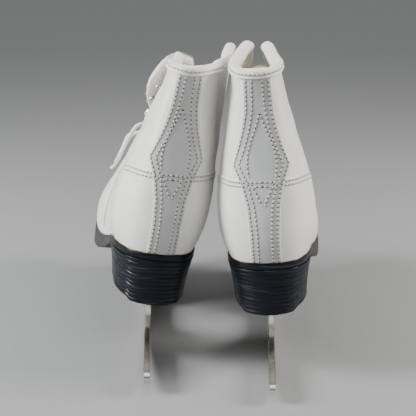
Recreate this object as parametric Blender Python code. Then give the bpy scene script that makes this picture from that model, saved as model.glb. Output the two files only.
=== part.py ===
"""A pair of child's figure skates: two leather boots on heeled soles, each screwed to a steel blade.

Every size is in millimetres and turned to metres when a mesh is made. A skate is modelled upright in its
own frame: the blade touches z = 0, the back of the heel is at y = 0 and the toe points along +y. The
lateral side is x > 0 there, so the left skate is the mirror of the right one. Each skate then leans and
turns as a whole, under an empty, to the place where the two stand against each other.
"""
import math

import bmesh
import bpy
import numpy as np
from mathutils import Matrix, Vector

MM = 0.001
GAP = 0.3

# Where each skate stands in the pair, how its blade is set (degrees turned in towards the other foot, and
# degrees more upright than the boot), and how its open collar is pulled out of true. A spread is how far
# the top edge moves (sideways, up) at each of the boot's stations from the back of the heel round to the
# throat, first on the lateral and then on the medial side; it fades out down the boot. A tongue is held in
# the throat down from the given column of the grid; above it are free sections, each with its front face's
# (medial x, lateral x, y, z).
SKATES = {
    "left": {
        "mirror": -1, "at": (-39.6, 0.0), "yaw": 10.7, "roll": 8.5, "blade": (6.7, 6.2),
        "spread": ([(-1, 0), (-3, 0), (-8, -1), (-13, -5), (-11, -7), (-5, -4), (-2, 0), (0, 0)],
                   [(-1, 0), (-2, 1), (-9, 2), (-20, 2), (-30, 3), (-18, 0), (-8, 0), (-3, 0)]),
        "tongue": (11, [(-10, 1, 80, 139), (-15, -2, 83.4, 150), (-17, 8.5, 84, 161), (-17, 11.5, 80, 175),
                        (-18, 7, 76, 187), (-15, 1, 73, 195)]),
    },
    "right": {
        "mirror": 1, "at": (39.0, -10.8), "yaw": -6.8, "roll": -3.6, "blade": (2.9, 1.6),
        "spread": ([(0, 0), (-1, 0), (-1.8, 0), (-1.8, 0), (-1.8, 0), (-1, 0), (0, 0), (0, 0)],
                   [(0, 0), (-1, 0), (-1.8, 1), (-1.8, 1), (-1.8, 1), (-1, 0), (0, 0), (0, 0)]),
        "tongue": (8, [(-7, 4, 55, 190)]),
    },
}
PAIR_CENTRE = (-2.34, 85.36)      # moves the pair so that its box is centred on the origin

# The upper's outer face. Each rib of it is a Bezier curve from the feather line, where the upper meets
# the sole, to the top edge: collar, then eyestay, then the ridge of the vamp. The ribs stand at stations
# 0 (back of the heel) to 11 (tip of the toe).
FEATHER = [(0, 1, 80.6), (16, 7, 80.3), (23.6, 24, 79.5), (24.3, 43, 77), (24.0, 60, 72), (25.3, 78, 65.8),
           (28.3, 97, 61.5), (29.8, 116, 60.6), (29.0, 138, 60.8), (25.0, 163, 61.6), (15.5, 187, 62.8),
           (0, 199.5, 63.6)]
LOW = [(0, -12, 108), (21, -3, 108), (37, 20, 109), (38, 44, 108), (36.5, 63, 103), (35, 80, 94),
       (35, 98, 87), (35, 116, 83), (34, 138, 81), (30, 164, 79.5), (20, 192, 79), (0, 207, 79)]
HIGH = [(0, 9, 150), (13.5, 8, 150), (18.5, 23, 150), (19, 46, 151), (17, 66, 152), (20, 78, 132),
        (22, 92, 118), (22, 108, 108), (18, 125, 104.5), (14, 138, 103), (10, 167, 94), (0, 191, 85)]
TOP = [(0, -5, 190), (9.5, 0.5, 190.3), (14.5, 22, 191.5), (13.5, 43, 195), (7.6, 61, 199), (8, 71, 166),
       (8.5, 84, 138), (8.5, 102, 121.5), (6.5, 119, 111), (0, 134, 103.5), (0, 163, 94.5), (0, 183, 85.5)]
LATERAL_BALL = 0.06               # the ball of the foot is this much wider on the lateral side
FOOT_BEND = 12.0                  # the foot curves inward by this much at the toe's tip
BEND_START = 80.0
SPREAD_LOW = 0.7                  # the share of the spread that reaches the ribs' upper handles

# The grid that every layer of the upper is cut from, so that neighbouring layers share their facets.
RIBS = [1.5, 2, 2.6, 3.3, 4, 4.5, 5.2, 6, 6.8, 7.6, 8.3, 9, 9.7, 10.4, 11]
RIDGE_START = 9                   # the station where the throat has closed and the vamp's ridge begins
ROWS = [0, 0.1, 0.22, 0.36, 0.48, 0.57, 0.7, 0.82, 0.97, 1]
BACKSTAY = [(80, 8.6), (100, 8.6), (115, 9.6), (127, 12), (139, 16), (150, 12.6), (160, 10), (170, 8.2),
            (190, 7)]             # (height, half-width) of the strip up the back of the boot

# Layers of the upper, as distances outward from its face.
LEATHER = (-2.0, 0.0)
OVERLAY = (0.3, 1.5)
COUNTER = (-3.5, -2.3)
LINING = (-5.2, -3.8)
COLLAR = [(0.4, -2), (0.4, 0.6), (-6.3, 1.2), (-7.3, -1.6), (-8.0, -1.4), (-7.7, 1.4), (-3, 5), (1.6, 3),
          (1.9, -2)]              # its section: (outward, up) from the leather's top edge
FELT_FACE = -6.2                  # the tongue's outer face, as a distance from the upper's face
FELT_THICK = 5.0
TONGUE_ROOT = (0.7, (0, 10, -9))  # how narrow the tongue's sewn end is, and where it lies
TONGUE_ARCH = 2.5                 # how far a free section's edges fall back

# Sole, heel and blade.
WELT = 1.4                        # the sole stands this far outside the upper
SOLE_UNDER = [76.3, 76, 75.2, 72.5, 66.5, 57, 50.5, 48.6, 48.6, 48.6, 49.6, 51.6]
HEEL_FOOT_Z = 49.3
HEEL_TAPER = 0.87                 # width of the heel's foot over that of its top
BOARD = 2.0
SOCK = 3.0
BLADE_THICK = 4.0
BLADE_PIVOT_Y = 30.0              # the blade is turned about the middle of its heel plate
ROCKER = 1770.0
ROCKER_Y = 95.0
PLATE_THICK = 2.1
SOLE_PLATE_TOP = 48.3
HEEL_PLATE_TOP = 49.0
SOLE_SCREWS = [(11, 106), (-11, 106), (11, 152), (-11, 152)]
HEEL_SCREWS = [(10.5, 24), (-10.5, 24)]
SCREW_R = 1.9
SCREW_HEAD_R = 3.3

# Lacing.
EYELETS = [7.9, 7.3, 6.75, 6.2, 5.7, 5.3]    # stations of the eyelets, from the throat up
HOOKS = [4.95, 4.62, 4.3]
EYE_ROW = 0.9                     # how far up the ribs the eyelets sit
LACE_OUT = 5.0                    # how far the middle of the lace lies off the face of the leather
LACE_TURN = 0.16                  # half the spacing of the lace's two runs at an eyelet, in stations
LACED = 4                         # rows of eyelets that the lace runs through
LACE_R = 1.3
KNOT = (4.6, 3.8, 4.0)            # half-sizes of the knot
# The loop and the end on each side of the knot. The first and last points of a loop, and the first of an
# end, are offsets from the knot's middle; the others lie on the boot, as (station, up the rib, out).
LOOP = [(4.5, 1.8, 2.6), (5.9, 0.97, 8.4), (5.9, 0.87, 7.6), (5.98, 0.78, 5.8), (6.16, 0.71, 4.6),
        (6.36, 0.68, 4.2), (6.58, 0.72, 4.4), (6.62, 0.79, 6.2), (6.52, 0.87, 8.2), (6.36, 0.96, 9.0),
        (4.2, 3.6, -0.8)]
END = [(2.2, 4.8, -3.6), (6.8, 1.0, 12.6), (6.98, 0.91, 11.4), (7.12, 0.82, 7.6), (7.18, 0.72, 5.0),
       (7.2, 0.65, 5.2)]


def material(name, color, roughness, metallic=0.0):
    """A Principled material of one colour."""
    mat = bpy.data.materials.new(name)
    mat.use_nodes = True
    shader = mat.node_tree.nodes["Principled BSDF"]
    shader.inputs["Base Color"].default_value = (*color, 1)
    shader.inputs["Roughness"].default_value = roughness
    shader.inputs["Metallic"].default_value = metallic
    mat.diffuse_color = (*color, 1)
    return mat


def add(name, verts, faces, mat, parent, smooth=35):
    """An object of these vertices, in millimetres, with its faces turned outward."""
    mesh = bpy.data.meshes.new(name)
    mesh.from_pydata([tuple(float(c) * MM for c in v) for v in verts], [], faces)
    bm = bmesh.new()
    bm.from_mesh(mesh)
    bmesh.ops.recalc_face_normals(bm, faces=bm.faces)
    bm.to_mesh(mesh)
    bm.free()
    mesh.shade_smooth()
    mesh.set_sharp_from_angle(angle=math.radians(smooth))
    mesh.materials.append(mat)
    obj = bpy.data.objects.new(name, mesh)
    bpy.context.scene.collection.objects.link(obj)
    obj.parent = parent
    return obj


# ---------------------------------------------------------------- the upper's face


def rail(points, u):
    """The smooth curve through a row of stations, at station u. The row goes on as its mirror image."""
    last = len(points) - 1
    i = min(int(u), last - 1)
    t = u - i

    def at(k):
        k, flip = (-k, -1) if k < 0 else (2 * last - k, -1) if k > last else (k, 1)
        return np.array(points[k], float) * (flip, 1, 1)

    a, b, c, d = at(i - 1), at(i), at(i + 1), at(i + 2)
    return 0.5 * (2 * b + (c - a) * t + (2 * a - 5 * b + 4 * c - d) * t ** 2
                  + (3 * b - a - 3 * c + d) * t ** 3)


def ease(low, high, x):
    """0 below low, 1 above high, smooth between."""
    t = min(max((x - low) / (high - low), 0.0), 1.0)
    return t * t * (3 - 2 * t)


def bend_plan(x, y, z):
    """Widens the lateral ball and turns the toe inward, as a foot's outline does."""
    if x > 0:
        x *= 1 + LATERAL_BALL * ease(70, 115, y) * ease(215, 150, y)
    return np.array((x - FOOT_BEND * max(0.0, (y - BEND_START) / (200 - BEND_START)) ** 1.5, y, z))


def upper(s, v, spread):
    """A point of the upper's face. s is the station, negative on the medial side, and v the height."""
    u = abs(s)
    pull = list(spread[0] if s >= 0 else spread[1]) + [(0, 0)] * 6
    i = min(int(u), 11)
    t = ease(0, 1, u - i)
    shift, lift = ((1 - t) * a + t * b for a, b in zip(pull[i], pull[i + 1]))
    side = 1 if s >= 0 else -1
    f, low, high, top = (rail(row, u) * (side, 1, 1) for row in (FEATHER, LOW, HIGH, TOP))
    high += (SPREAD_LOW * shift, 0, SPREAD_LOW * lift)
    top += (shift, 0, lift)
    w = 1 - v
    return bend_plan(*(w ** 3 * f + 3 * w * w * v * low + 3 * w * v * v * high + v ** 3 * top))


def backstay_edge(v):
    """The station where the backstay ends at height v."""
    low, high = 0.0, 1.6
    for _ in range(24):
        mid = (low + high) / 2
        x, _, z = upper(mid, v, ([(0, 0)], [(0, 0)]))
        half = float(np.interp(z, [h for h, _ in BACKSTAY], [w for _, w in BACKSTAY]))
        low, high = (mid, high) if x < half else (low, mid)
    return mid


def columns(v):
    """The grid's stations at height v: the backstay's three, then the ribs."""
    edge = backstay_edge(v)
    first = edge + (RIBS[1] - edge) * 0.5
    return [0.0, edge * 0.5, edge, first] + RIBS[1:]


def make_grid(spread):
    """Points and outward normals of the face, by (column, row). Columns are negative on the medial side,
    and the two sides share their points at the tip of the toe and along the vamp's ridge."""
    stations = [columns(v) for v in ROWS]
    last = len(stations[0]) - 1
    key, points = {}, []
    for j in range(-last, last + 1):
        for i, v in enumerate(ROWS):
            u = stations[i][abs(j)]
            shared = abs(j) == last or (v == 1 and u >= RIDGE_START)
            if shared and j > 0:
                key[j, i] = key[-j, i]
                continue
            key[j, i] = len(points)
            points.append(upper(math.copysign(u, j), v, spread))
    points = np.array(points)
    normals = np.zeros_like(points)
    for j in range(-last, last):
        for i in range(len(ROWS) - 1):
            corners = [key[k] for k in ((j, i), (j + 1, i), (j + 1, i + 1), (j, i + 1))]
            a, b, c, d = points[corners]
            for k in corners:
                normals[k] += np.cross(c - a, d - b)
    for j in range(-last, last + 1):
        normals[key[j, 0], 2] = 0        # the layers stand square on the sole
    normals /= np.linalg.norm(normals, axis=1)[:, None]
    return {"key": key, "p": points, "n": normals, "last": last}


def layer(name, grid, cells, depth, mat, skate, seams={}):
    """A closed shell over the chosen cells, between two distances from the face. Columns in seams are
    drawn back by half a gap: {column: direction along the stations}."""
    inner, outer = depth
    key, p, n = grid["key"], grid["p"], grid["n"]
    index, verts = {}, []

    def vertex(j, i, top):
        k = (key[j, i], top)
        if k not in index:
            point = p[key[j, i]] + n[key[j, i]] * (outer if top else inner)
            if j in seams:
                away = p[key[j + seams[j], i]] - p[key[j, i]]
                point = point + away / np.linalg.norm(away) * GAP / 2
            index[k] = len(verts)
            verts.append(point)
        return index[k]

    faces, edges = [], {}
    for j, i in cells:
        corners = [(j, i), (j + 1, i), (j + 1, i + 1), (j, i + 1)]
        for top in (True, False):
            ring = []
            for c in corners:
                k = vertex(*c, top)
                if k not in ring:
                    ring.append(k)
            for m in range(1, len(ring) - 1):        # every layer splits its cells along the same diagonal
                faces.append([ring[0], ring[m], ring[m + 1]])
        for a, b in zip(corners, corners[1:] + corners[:1]):
            ka, kb = vertex(*a, True), vertex(*b, True)
            if ka != kb:
                edges.setdefault(frozenset((ka, kb)), []).append((a, b))
    for used in edges.values():
        if len(used) == 1:
            a, b = used[0]
            faces.append([vertex(*a, True), vertex(*a, False), vertex(*b, False), vertex(*b, True)])
    return skate_part(name, verts, faces, mat, skate)


def toe_in(skate, x, y):
    """A point of the blade's own plan, turned with it about the middle of the heel."""
    a = math.radians(skate["blade"][0])
    dy = y - BLADE_PIVOT_Y
    return x * math.cos(a) - dy * math.sin(a), BLADE_PIVOT_Y + x * math.sin(a) + dy * math.cos(a)


def skate_part(name, verts, faces, mat, skate, smooth=35):
    """A piece of one skate, mirrored for the left foot."""
    verts = [(v[0] * skate["mirror"], v[1], v[2]) for v in verts]
    return add(f"{skate['name']}_{name}", verts, faces, mat, skate["empty"], smooth)


def span(j0, j1, i0, i1):
    """The grid's cells from column j0 to j1 and row i0 to i1."""
    return [(j, i) for j in range(j0, j1) for i in range(i0, i1)]


# ---------------------------------------------------------------- pieces of the upper


def make_upper(skate, grid, mats):
    """Leather, stiffener, lining and collar of one boot."""
    last = grid["last"]
    top = len(ROWS) - 1
    seam = 12                      # column of the seam between quarters and vamp
    stay = 2                       # column of the backstay's edge
    eye0, eye1 = 7, 13             # columns of the eyestay
    for side, name in ((1, "lateral"), (-1, "medial")):
        j0, j1 = (0, seam) if side > 0 else (-seam, 0)
        layer("quarter_" + name, grid, span(j0, j1, 0, top), LEATHER, mats["leather"], skate,
              {0: side, seam * side: -side})
    vamp = span(seam, last, 0, top) + span(-last, -seam, 0, top)
    layer("vamp", grid, vamp, LEATHER, mats["leather"], skate, {seam: 1, -seam: -1})
    layer("backstay", grid, span(-stay, stay, 0, top - 1), OVERLAY, mats["leather"], skate)
    layer("heel_counter", grid, span(-8, 8, 0, 5), COUNTER, mats["fibreboard"], skate)
    under_collar = span(-eye0, eye0, 0, top - 1)
    front = span(-last, -eye0, 0, top) + span(eye0, last, 0, top)
    layer("lining", grid, under_collar + front, LINING, mats["fabric"], skate)
    collar(grid, skate, mats)
    for side, name in ((1, "lateral"), (-1, "medial")):
        j0, j1 = (eye0, eye1) if side > 0 else (-eye1, -eye0)
        strip = layer("eyestay_" + name, grid, span(j0, j1, top - 2, top), OVERLAY, mats["leather"], skate)
        add_eyelets(strip, side, skate)


def edge_frame(grid, j):
    """The top edge's point at column j, its outward normal and the direction up across it."""
    top = len(ROWS) - 1
    p = grid["p"][grid["key"][j, top]]
    n = grid["n"][grid["key"][j, top]]
    along = grid["p"][grid["key"][j + 1, top]] - grid["p"][grid["key"][j - 1, top]]
    up = np.cross(along, n)
    up *= math.copysign(1, up[2]) / np.linalg.norm(up)
    return p, n, up


def collar(grid, skate, mats):
    """The padded binding that straddles the collar's edge, from one front corner round to the other."""
    end = 7
    verts, faces = [], []
    ring = len(COLLAR)
    for j in range(-end, end + 1):
        p, n, up = edge_frame(grid, j)
        verts += [p + n * a + up * b for a, b in COLLAR]
    for k in range(2 * end):
        for m in range(ring):
            a, b = k * ring + m, k * ring + (m + 1) % ring
            faces.append([a, b, b + ring, a + ring])
    tail = 2 * end * ring
    faces += [list(range(ring))[::-1], list(range(tail, tail + ring))]
    skate_part("collar_binding", verts, faces, mats["binding"], skate)


def throat_place(skate, side, station, across, out):
    """A point beside the throat: across is the height on the rib and out the distance from the face."""
    step = 0.02
    p = upper(side * station, across, skate["spread"])
    du = upper(side * (station + step), across, skate["spread"]) - p
    dv = p - upper(side * station, across - step, skate["spread"])
    n = np.cross(du, dv) * side
    n /= np.linalg.norm(n)
    return p + n * out, n, dv / np.linalg.norm(dv)


def add_eyelets(stay, side, skate):
    """Joins eyelets and lacing hooks to an eyestay, as raised discs and bent tongues."""
    bm = bmesh.new()
    x = skate["mirror"]
    for k, station in enumerate(EYELETS + HOOKS):
        p, n, up = throat_place(skate, side, station, EYE_ROW, OVERLAY[1])
        cross = Vector((up[0] * x, up[1], up[2]))
        above = Vector((p[0] * x, p[1], p[2])) + 3 * Vector((n[0] * x, n[1], n[2]))
        _, base, normal, _ = stay.closest_point_on_mesh(above * MM)
        if k < len(EYELETS):
            place = Matrix.Translation(base) @ normal.to_track_quat("Z", "Y").to_matrix().to_4x4()
            bmesh.ops.create_cone(bm, cap_ends=True, segments=8, radius1=2.9 * MM, radius2=2.5 * MM,
                                  depth=1.7 * MM, matrix=place)
        else:
            add_hook(bm, base, normal, cross)
    bmesh.ops.recalc_face_normals(bm, faces=bm.faces)
    tool = bpy.data.objects.new("eyelets", bpy.data.meshes.new("eyelets"))
    bm.to_mesh(tool.data)
    bm.free()
    combine(stay, tool, "UNION")


def add_hook(bm, base, normal, cross):
    """A bent strip that rises from the strip and turns back away from the throat."""
    along = normal.cross(cross).normalized()
    cross = along.cross(normal)
    profile = [(1.6, -0.7), (1.6, 0.6), (0.9, 2.6), (-3.4, 3.5), (-3.6, 2.6), (-0.4, 1.8), (-1.4, 0.6),
               (-1.6, -0.7)]
    rings = []
    for w in (-1.5, 1.5):
        rings.append([bm.verts.new(base + (cross * a + normal * b + along * w) * MM) for a, b in profile])
    count = len(profile)
    for m in range(count):
        bm.faces.new([rings[0][m], rings[0][(m + 1) % count], rings[1][(m + 1) % count], rings[1][m]])
    bm.faces.new(rings[0][::-1])
    bm.faces.new(rings[1])


def combine(obj, tool, operation):
    """Applies a Boolean of the tool to the object and removes the tool."""
    bpy.context.scene.collection.objects.link(tool)
    tool.parent = obj.parent
    mod = obj.modifiers.new("cut", "BOOLEAN")
    mod.operation = operation
    mod.object = tool
    bpy.context.view_layer.update()
    graph = bpy.context.evaluated_depsgraph_get()
    mesh = bpy.data.meshes.new_from_object(obj.evaluated_get(graph))
    obj.modifiers.clear()
    obj.data = mesh
    bpy.data.objects.remove(tool)


def make_tongue(skate, grid, mats):
    """A felt tongue: it follows the inside of the throat low down and stands free above."""
    top = len(ROWS) - 1
    key, p, n = grid["key"], grid["p"], grid["n"]
    sections = []
    held, free = skate["tongue"]
    for j in range(12, held - 1, -1):
        keys = [key[-j, i] for i in (top - 2, top - 1, top)] + [key[j, i] for i in (top, top - 1, top - 2)]
        inward = -sum(n[k] for k in keys) * (0, 1, 1)
        inward *= FELT_THICK / np.linalg.norm(inward)
        outer = [p[k] + n[k] * FELT_FACE for k in keys]
        sections.append([outer, [q + inward for q in outer]])
    middle = sum(sections[0][0]) / len(sections[0][0])
    widen, shift = np.array((TONGUE_ROOT[0], 1, 1)), np.array(TONGUE_ROOT[1])
    sections.insert(0, [[middle + (q - middle) * widen + shift for q in ring] for ring in sections[0]])
    for medial, lateral, y, z in free:
        outer = []
        for t in (0, 0.1, 0.35, 0.65, 0.9, 1):
            fall = TONGUE_ARCH * (2 * t - 1) ** 4
            outer.append(np.array((medial + (lateral - medial) * t, y - fall, z - fall)))
        sections.append([outer, [q + (0, -FELT_THICK, -1) for q in outer]])
    half = len(sections[0][0])
    ring = 2 * half
    verts = [q for outer, inner in sections for q in outer + inner[::-1]]
    faces = []
    for k in range(len(sections) - 1):
        for m in range(ring):
            a, b = k * ring + m, k * ring + (m + 1) % ring
            faces += [[a, b, b + ring], [a, b + ring, a + ring]]
    for start in (0, (len(sections) - 1) * ring):
        for m in range(half - 1):
            faces.append([start + m, start + m + 1, start + ring - 2 - m, start + ring - 1 - m])
    skate_part("tongue", verts, faces, mats["felt"], skate)


# ---------------------------------------------------------------- sole, heel and insoles


def outline(grid, out):
    """The feather line all round, moved outward by out in plan, as (column, point)."""
    last = grid["last"]
    points = {}
    for j in range(-last, last):
        p = grid["p"][grid["key"][j, 0]]
        before = grid["p"][grid["key"][j - 1 if j > -last else last - 1, 0]]
        after = grid["p"][grid["key"][j + 1, 0]]
        t = (after - before)[:2]
        n = np.array((t[1], -t[0])) / np.linalg.norm(t)
        points[j] = np.array((p[0] + n[0] * out, p[1] + n[1] * out, p[2]))
    points[last] = points[-last]
    return points


def slab(tops, bottoms, pairs):
    """Vertices and faces of a plate between two outlines, filled across from side to side."""
    order = sorted(tops)
    verts, index = [], {}
    for level, ring in enumerate((tops, bottoms)):
        for j in order:
            index[j, level] = len(verts)
            verts.append(ring[j])
    first, final = order[0], order[-1]
    faces = []
    for a, b in zip(order, order[1:] + [first]):
        faces.append([index[a, 0], index[b, 0], index[b, 1], index[a, 1]])
    for level in (0, 1):
        for j in pairs:
            quad = [index[-j, level], index[j, level], index.get((j + 1, level)), index.get((-j - 1, level))]
            ring = []
            for k in quad:
                if k is not None and k not in ring:
                    ring.append(k)
            if len(ring) > 2:
                faces.append(ring)
    return verts, faces


def drop_last(points, last):
    """The same outline without its doubled toe point."""
    return {j: q for j, q in points.items() if j != -last}


def make_sole(skate, grid, mats):
    """Outsole, heel, insole board and sock."""
    last = grid["last"]
    stations = columns(0)

    def under(j):
        u = stations[abs(j)]
        i = min(int(u), len(SOLE_UNDER) - 2)
        return SOLE_UNDER[i] + (SOLE_UNDER[i + 1] - SOLE_UNDER[i]) * (u - i)

    edge = drop_last(outline(grid, WELT), last)
    tops = {j: q + (0, 0, -GAP) for j, q in edge.items()}
    bottoms = {j: np.array((q[0], q[1], under(j))) for j, q in edge.items()}
    sole = skate_part("outsole", *toe_slab(tops, bottoms, last), mats["sole"], skate)

    heel_end = 6
    heel_top = {j: bottoms[j] + (0, 0, -GAP) for j in range(-heel_end, heel_end + 1)}
    heel_foot = {}
    for j, q in heel_top.items():
        heel_foot[j] = np.array((q[0] * HEEL_TAPER, q[1] + 0.9 * (1 - q[1] / 50), HEEL_FOOT_Z))
    heel = skate_part("heel_block", *slab(heel_top, heel_foot, range(heel_end)), mats["heel"], skate)

    inner = drop_last(outline(grid, LINING[0] - 0.8), last)
    board_foot = {j: q + (0, 0, GAP) for j, q in inner.items()}
    board_top = {j: q + (0, 0, BOARD) for j, q in board_foot.items()}
    skate_part("insole_board", *toe_slab(board_top, board_foot, last), mats["fibreboard"], skate)
    sock_foot = {j: q + (0, 0, GAP) for j, q in board_top.items()}
    sock_top = {j: q + (0, 0, SOCK) for j, q in sock_foot.items()}
    skate_part("insole", *toe_slab(sock_top, sock_foot, last), mats["fabric"], skate)
    return sole, heel


def toe_slab(tops, bottoms, last):
    """A plate whose outline closes in one point at the heel and one at the toe."""
    order = list(range(-last + 1, last + 1))
    verts, index = [], {}
    for level, ring in enumerate((tops, bottoms)):
        for j in order:
            index[j, level] = len(verts)
            verts.append(ring[j])
    faces = []
    for a, b in zip(order, order[1:] + order[:1]):
        faces.append([index[a, 0], index[b, 0], index[b, 1], index[a, 1]])
    for level in (0, 1):
        faces.append([index[0, level], index[1, level], index[-1, level]])
        for j in range(1, last - 1):
            faces.append([index[-j, level], index[j, level], index[j + 1, level], index[-j - 1, level]])
        faces.append([index[-last + 1, level], index[last - 1, level], index[last, level]])
    return verts, faces


# ---------------------------------------------------------------- blade


def arc(cy, cz, r, start, end, count):
    """Points of an arc in the y-z plane, in degrees from +y towards +z."""
    return [(cy + r * math.cos(math.radians(a)), cz + r * math.sin(math.radians(a)))
            for a in np.linspace(start, end, count)]


def runner_outline():
    """The runner with its two stanchions, as one outline in the y-z plane."""
    top_front = SOLE_PLATE_TOP - PLATE_THICK - GAP
    top_heel = HEEL_PLATE_TOP - PLATE_THICK - GAP

    def rock(y):
        return (y, (y - ROCKER_Y) ** 2 / (2 * ROCKER))

    bottom = [rock(y) for y in np.linspace(-14, 170, 9)]
    picks = []
    for k in range(5):
        y, z = 174 + 5.6 * k, 0.9 + 1.55 * k ** 1.8
        picks += [(y, z), (y + 0.8, z + 4.2 + 0.3 * k)]
    nose = [(200.2, 27), (199.5, 33), (195, 38), (186, 41.5), (174, top_front)]
    front = [(98, top_front)] + arc(98, 31, 10, 70, -20, 4) + [(110, 17), (104, 14)]
    bridge = [(84, 13.4), (72, 14.4)]
    heel = [(60, 22), (50, 36), (46, top_heel), (4, top_heel), (9, 37), (18, 26), (29, 18), (40, 14)]
    tail = [(-15, 13), (-18.8, 12.3), (-20.5, 9.4), (-19.8, 6), (-17, 4.2)]
    return bottom + picks + nose + front + bridge + heel + tail


def extrude_outline(points, x0, x1):
    """A prism along x from an outline in the y-z plane."""
    count = len(points)
    verts = [(x0, y, z) for y, z in points] + [(x1, y, z) for y, z in points]
    faces = [[k, (k + 1) % count, (k + 1) % count + count, k + count] for k in range(count)]
    return verts, faces + [list(range(count))[::-1], list(range(count, 2 * count))]


def plate_outline(y0, y1, w0, w1, corner):
    """A rounded plate in plan, from y0 with half-width w0 to y1 with half-width w1."""
    points = []
    for cx, cy, start in ((w1 - corner, y1 - corner, 0), (-(w1 - corner), y1 - corner, 90),
                          (-(w0 - corner), y0 + corner, 180), (w0 - corner, y0 + corner, 270)):
        for a in (0, 45, 90):
            angle = math.radians(start + a)
            points.append((cx + corner * math.cos(angle), cy + corner * math.sin(angle)))
    return points


def make_blade(skate, sole, heel, mats):
    """Runner, two mounting plates and their screws, with the holes they pass through."""
    verts, faces = extrude_outline(runner_outline(), -BLADE_THICK / 2, BLADE_THICK / 2)
    cant, pivot = math.radians(skate["blade"][1]), SOLE_PLATE_TOP - PLATE_THICK - GAP
    leant = [(x * math.cos(cant) + (z - pivot) * math.sin(cant), y,
              pivot - x * math.sin(cant) + (z - pivot) * math.cos(cant)) for x, y, z in verts]
    verts = [(*toe_in(skate, x, y), z) for x, y, z in leant]
    skate["runner"] = skate_part("runner", verts, faces, mats["nickel"], skate)
    plates = (("sole_plate", plate_outline(94, 170, 16, 17.5, 7), SOLE_PLATE_TOP, SOLE_SCREWS, sole, 7.5),
              ("heel_plate", plate_outline(3.5, 46, 16.5, 16.5, 7), HEEL_PLATE_TOP, HEEL_SCREWS, heel, 13))
    for name, shape, top, screws, host, bite in plates:
        count = len(shape)
        shape = [toe_in(skate, x, y) for x, y in shape]
        verts = [(x, y, top - PLATE_THICK) for x, y in shape] + [(x, y, top) for x, y in shape]
        faces = [[k, (k + 1) % count, (k + 1) % count + count, k + count] for k in range(count)]
        faces += [list(range(count))[::-1], list(range(count, 2 * count))]
        plate = skate_part(name, verts, faces, mats["nickel"], skate)
        for k, (x, y) in enumerate(toe_in(skate, *place) for place in screws):
            drill(plate, skate, x, y, top - PLATE_THICK - 1, top + 1)
            drill(host, skate, x, y, top - 1, top + bite + GAP)
            screw(f"{name}_screw_{k + 1}", skate, x, y, top - PLATE_THICK - GAP, top + bite, mats)


def drill(obj, skate, x, y, z0, z1):
    """Cuts a round hole along z."""
    bm = bmesh.new()
    place = Matrix.Translation(Vector((x * skate["mirror"], y, (z0 + z1) / 2)) * MM)
    radius = (SCREW_R + GAP) * MM
    bmesh.ops.create_cone(bm, cap_ends=True, segments=8, radius1=radius, radius2=radius,
                          depth=(z1 - z0) * MM, matrix=place)
    tool = bpy.data.objects.new("drill", bpy.data.meshes.new("drill"))
    bm.to_mesh(tool.data)
    bm.free()
    combine(obj, tool, "DIFFERENCE")


def screw(name, skate, x, y, seat, tip, mats):
    """A pan-head screw that points up: turned from a profile of (radius, height)."""
    profile = [(0, seat - 1.6), (2.3, seat - 1.4), (SCREW_HEAD_R, seat - 0.5), (SCREW_HEAD_R, seat),
               (SCREW_R, seat), (SCREW_R, tip - 1.5), (0, tip)]
    sides = 8
    verts, rings = [], []
    for r, z in profile:
        if r == 0:
            rings.append([len(verts)])
            verts.append((x, y, z))
            continue
        rings.append([len(verts) + k for k in range(sides)])
        for k in range(sides):
            a = 2 * math.pi * (k + 0.5) / sides
            verts.append((x + r * math.cos(a), y + r * math.sin(a), z))
    faces = []
    for low, high in zip(rings, rings[1:]):
        for k in range(sides):
            quad = [low[k % len(low)], low[(k + 1) % len(low)], high[(k + 1) % len(high)],
                    high[k % len(high)]]
            faces.append(list(dict.fromkeys(quad)))
    skate_part(name, verts, faces, mats["nickel"], skate)


# ---------------------------------------------------------------- laces


def smooth_path(points, step):
    """Points about a step apart along a smooth curve through the given ones."""
    pts = [np.array(p, float) for p in points]
    out = []
    for i in range(len(pts) - 1):
        a = pts[i - 1] if i else 2 * pts[0] - pts[1]
        b, c = pts[i], pts[i + 1]
        d = pts[i + 2] if i + 2 < len(pts) else 2 * pts[-1] - pts[-2]
        count = max(1, round(np.linalg.norm(c - b) / step))
        for k in range(count):
            t = k / count
            out.append(0.5 * (2 * b + (c - a) * t + (2 * a - 5 * b + 4 * c - d) * t ** 2
                              + (3 * b - a - 3 * c + d) * t ** 3))
    return out + [pts[-1]]


def tube(name, points, radius, skate, mat):
    """A round cord along points, as a bevelled curve."""
    curve = bpy.data.curves.new(f"{skate['name']}_{name}", "CURVE")
    curve.dimensions = "3D"
    curve.bevel_depth = radius * MM
    curve.bevel_resolution = 2
    curve.use_fill_caps = True
    spline = curve.splines.new("POLY")
    spline.points.add(len(points) - 1)
    for slot, p in zip(spline.points, points):
        slot.co = (p[0] * skate["mirror"] * MM, p[1] * MM, p[2] * MM, 1)
    curve.materials.append(mat)
    obj = bpy.data.objects.new(f"{skate['name']}_{name}", curve)
    bpy.context.scene.collection.objects.link(obj)
    obj.parent = skate["empty"]
    return obj


def knot_place(skate):
    """The middle of the knot, over the throat just above the last laced eyelets."""
    station = EYELETS[LACED - 1] - 0.2
    ends = [throat_place(skate, side, station, 1.0, LACE_OUT) for side in (-1, 1)]
    lift = (ends[0][1] + ends[1][1]) * (0, 1, 1)
    return (ends[0][0] + ends[1][0]) / 2 + lift / np.linalg.norm(lift) * 2.0


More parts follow.
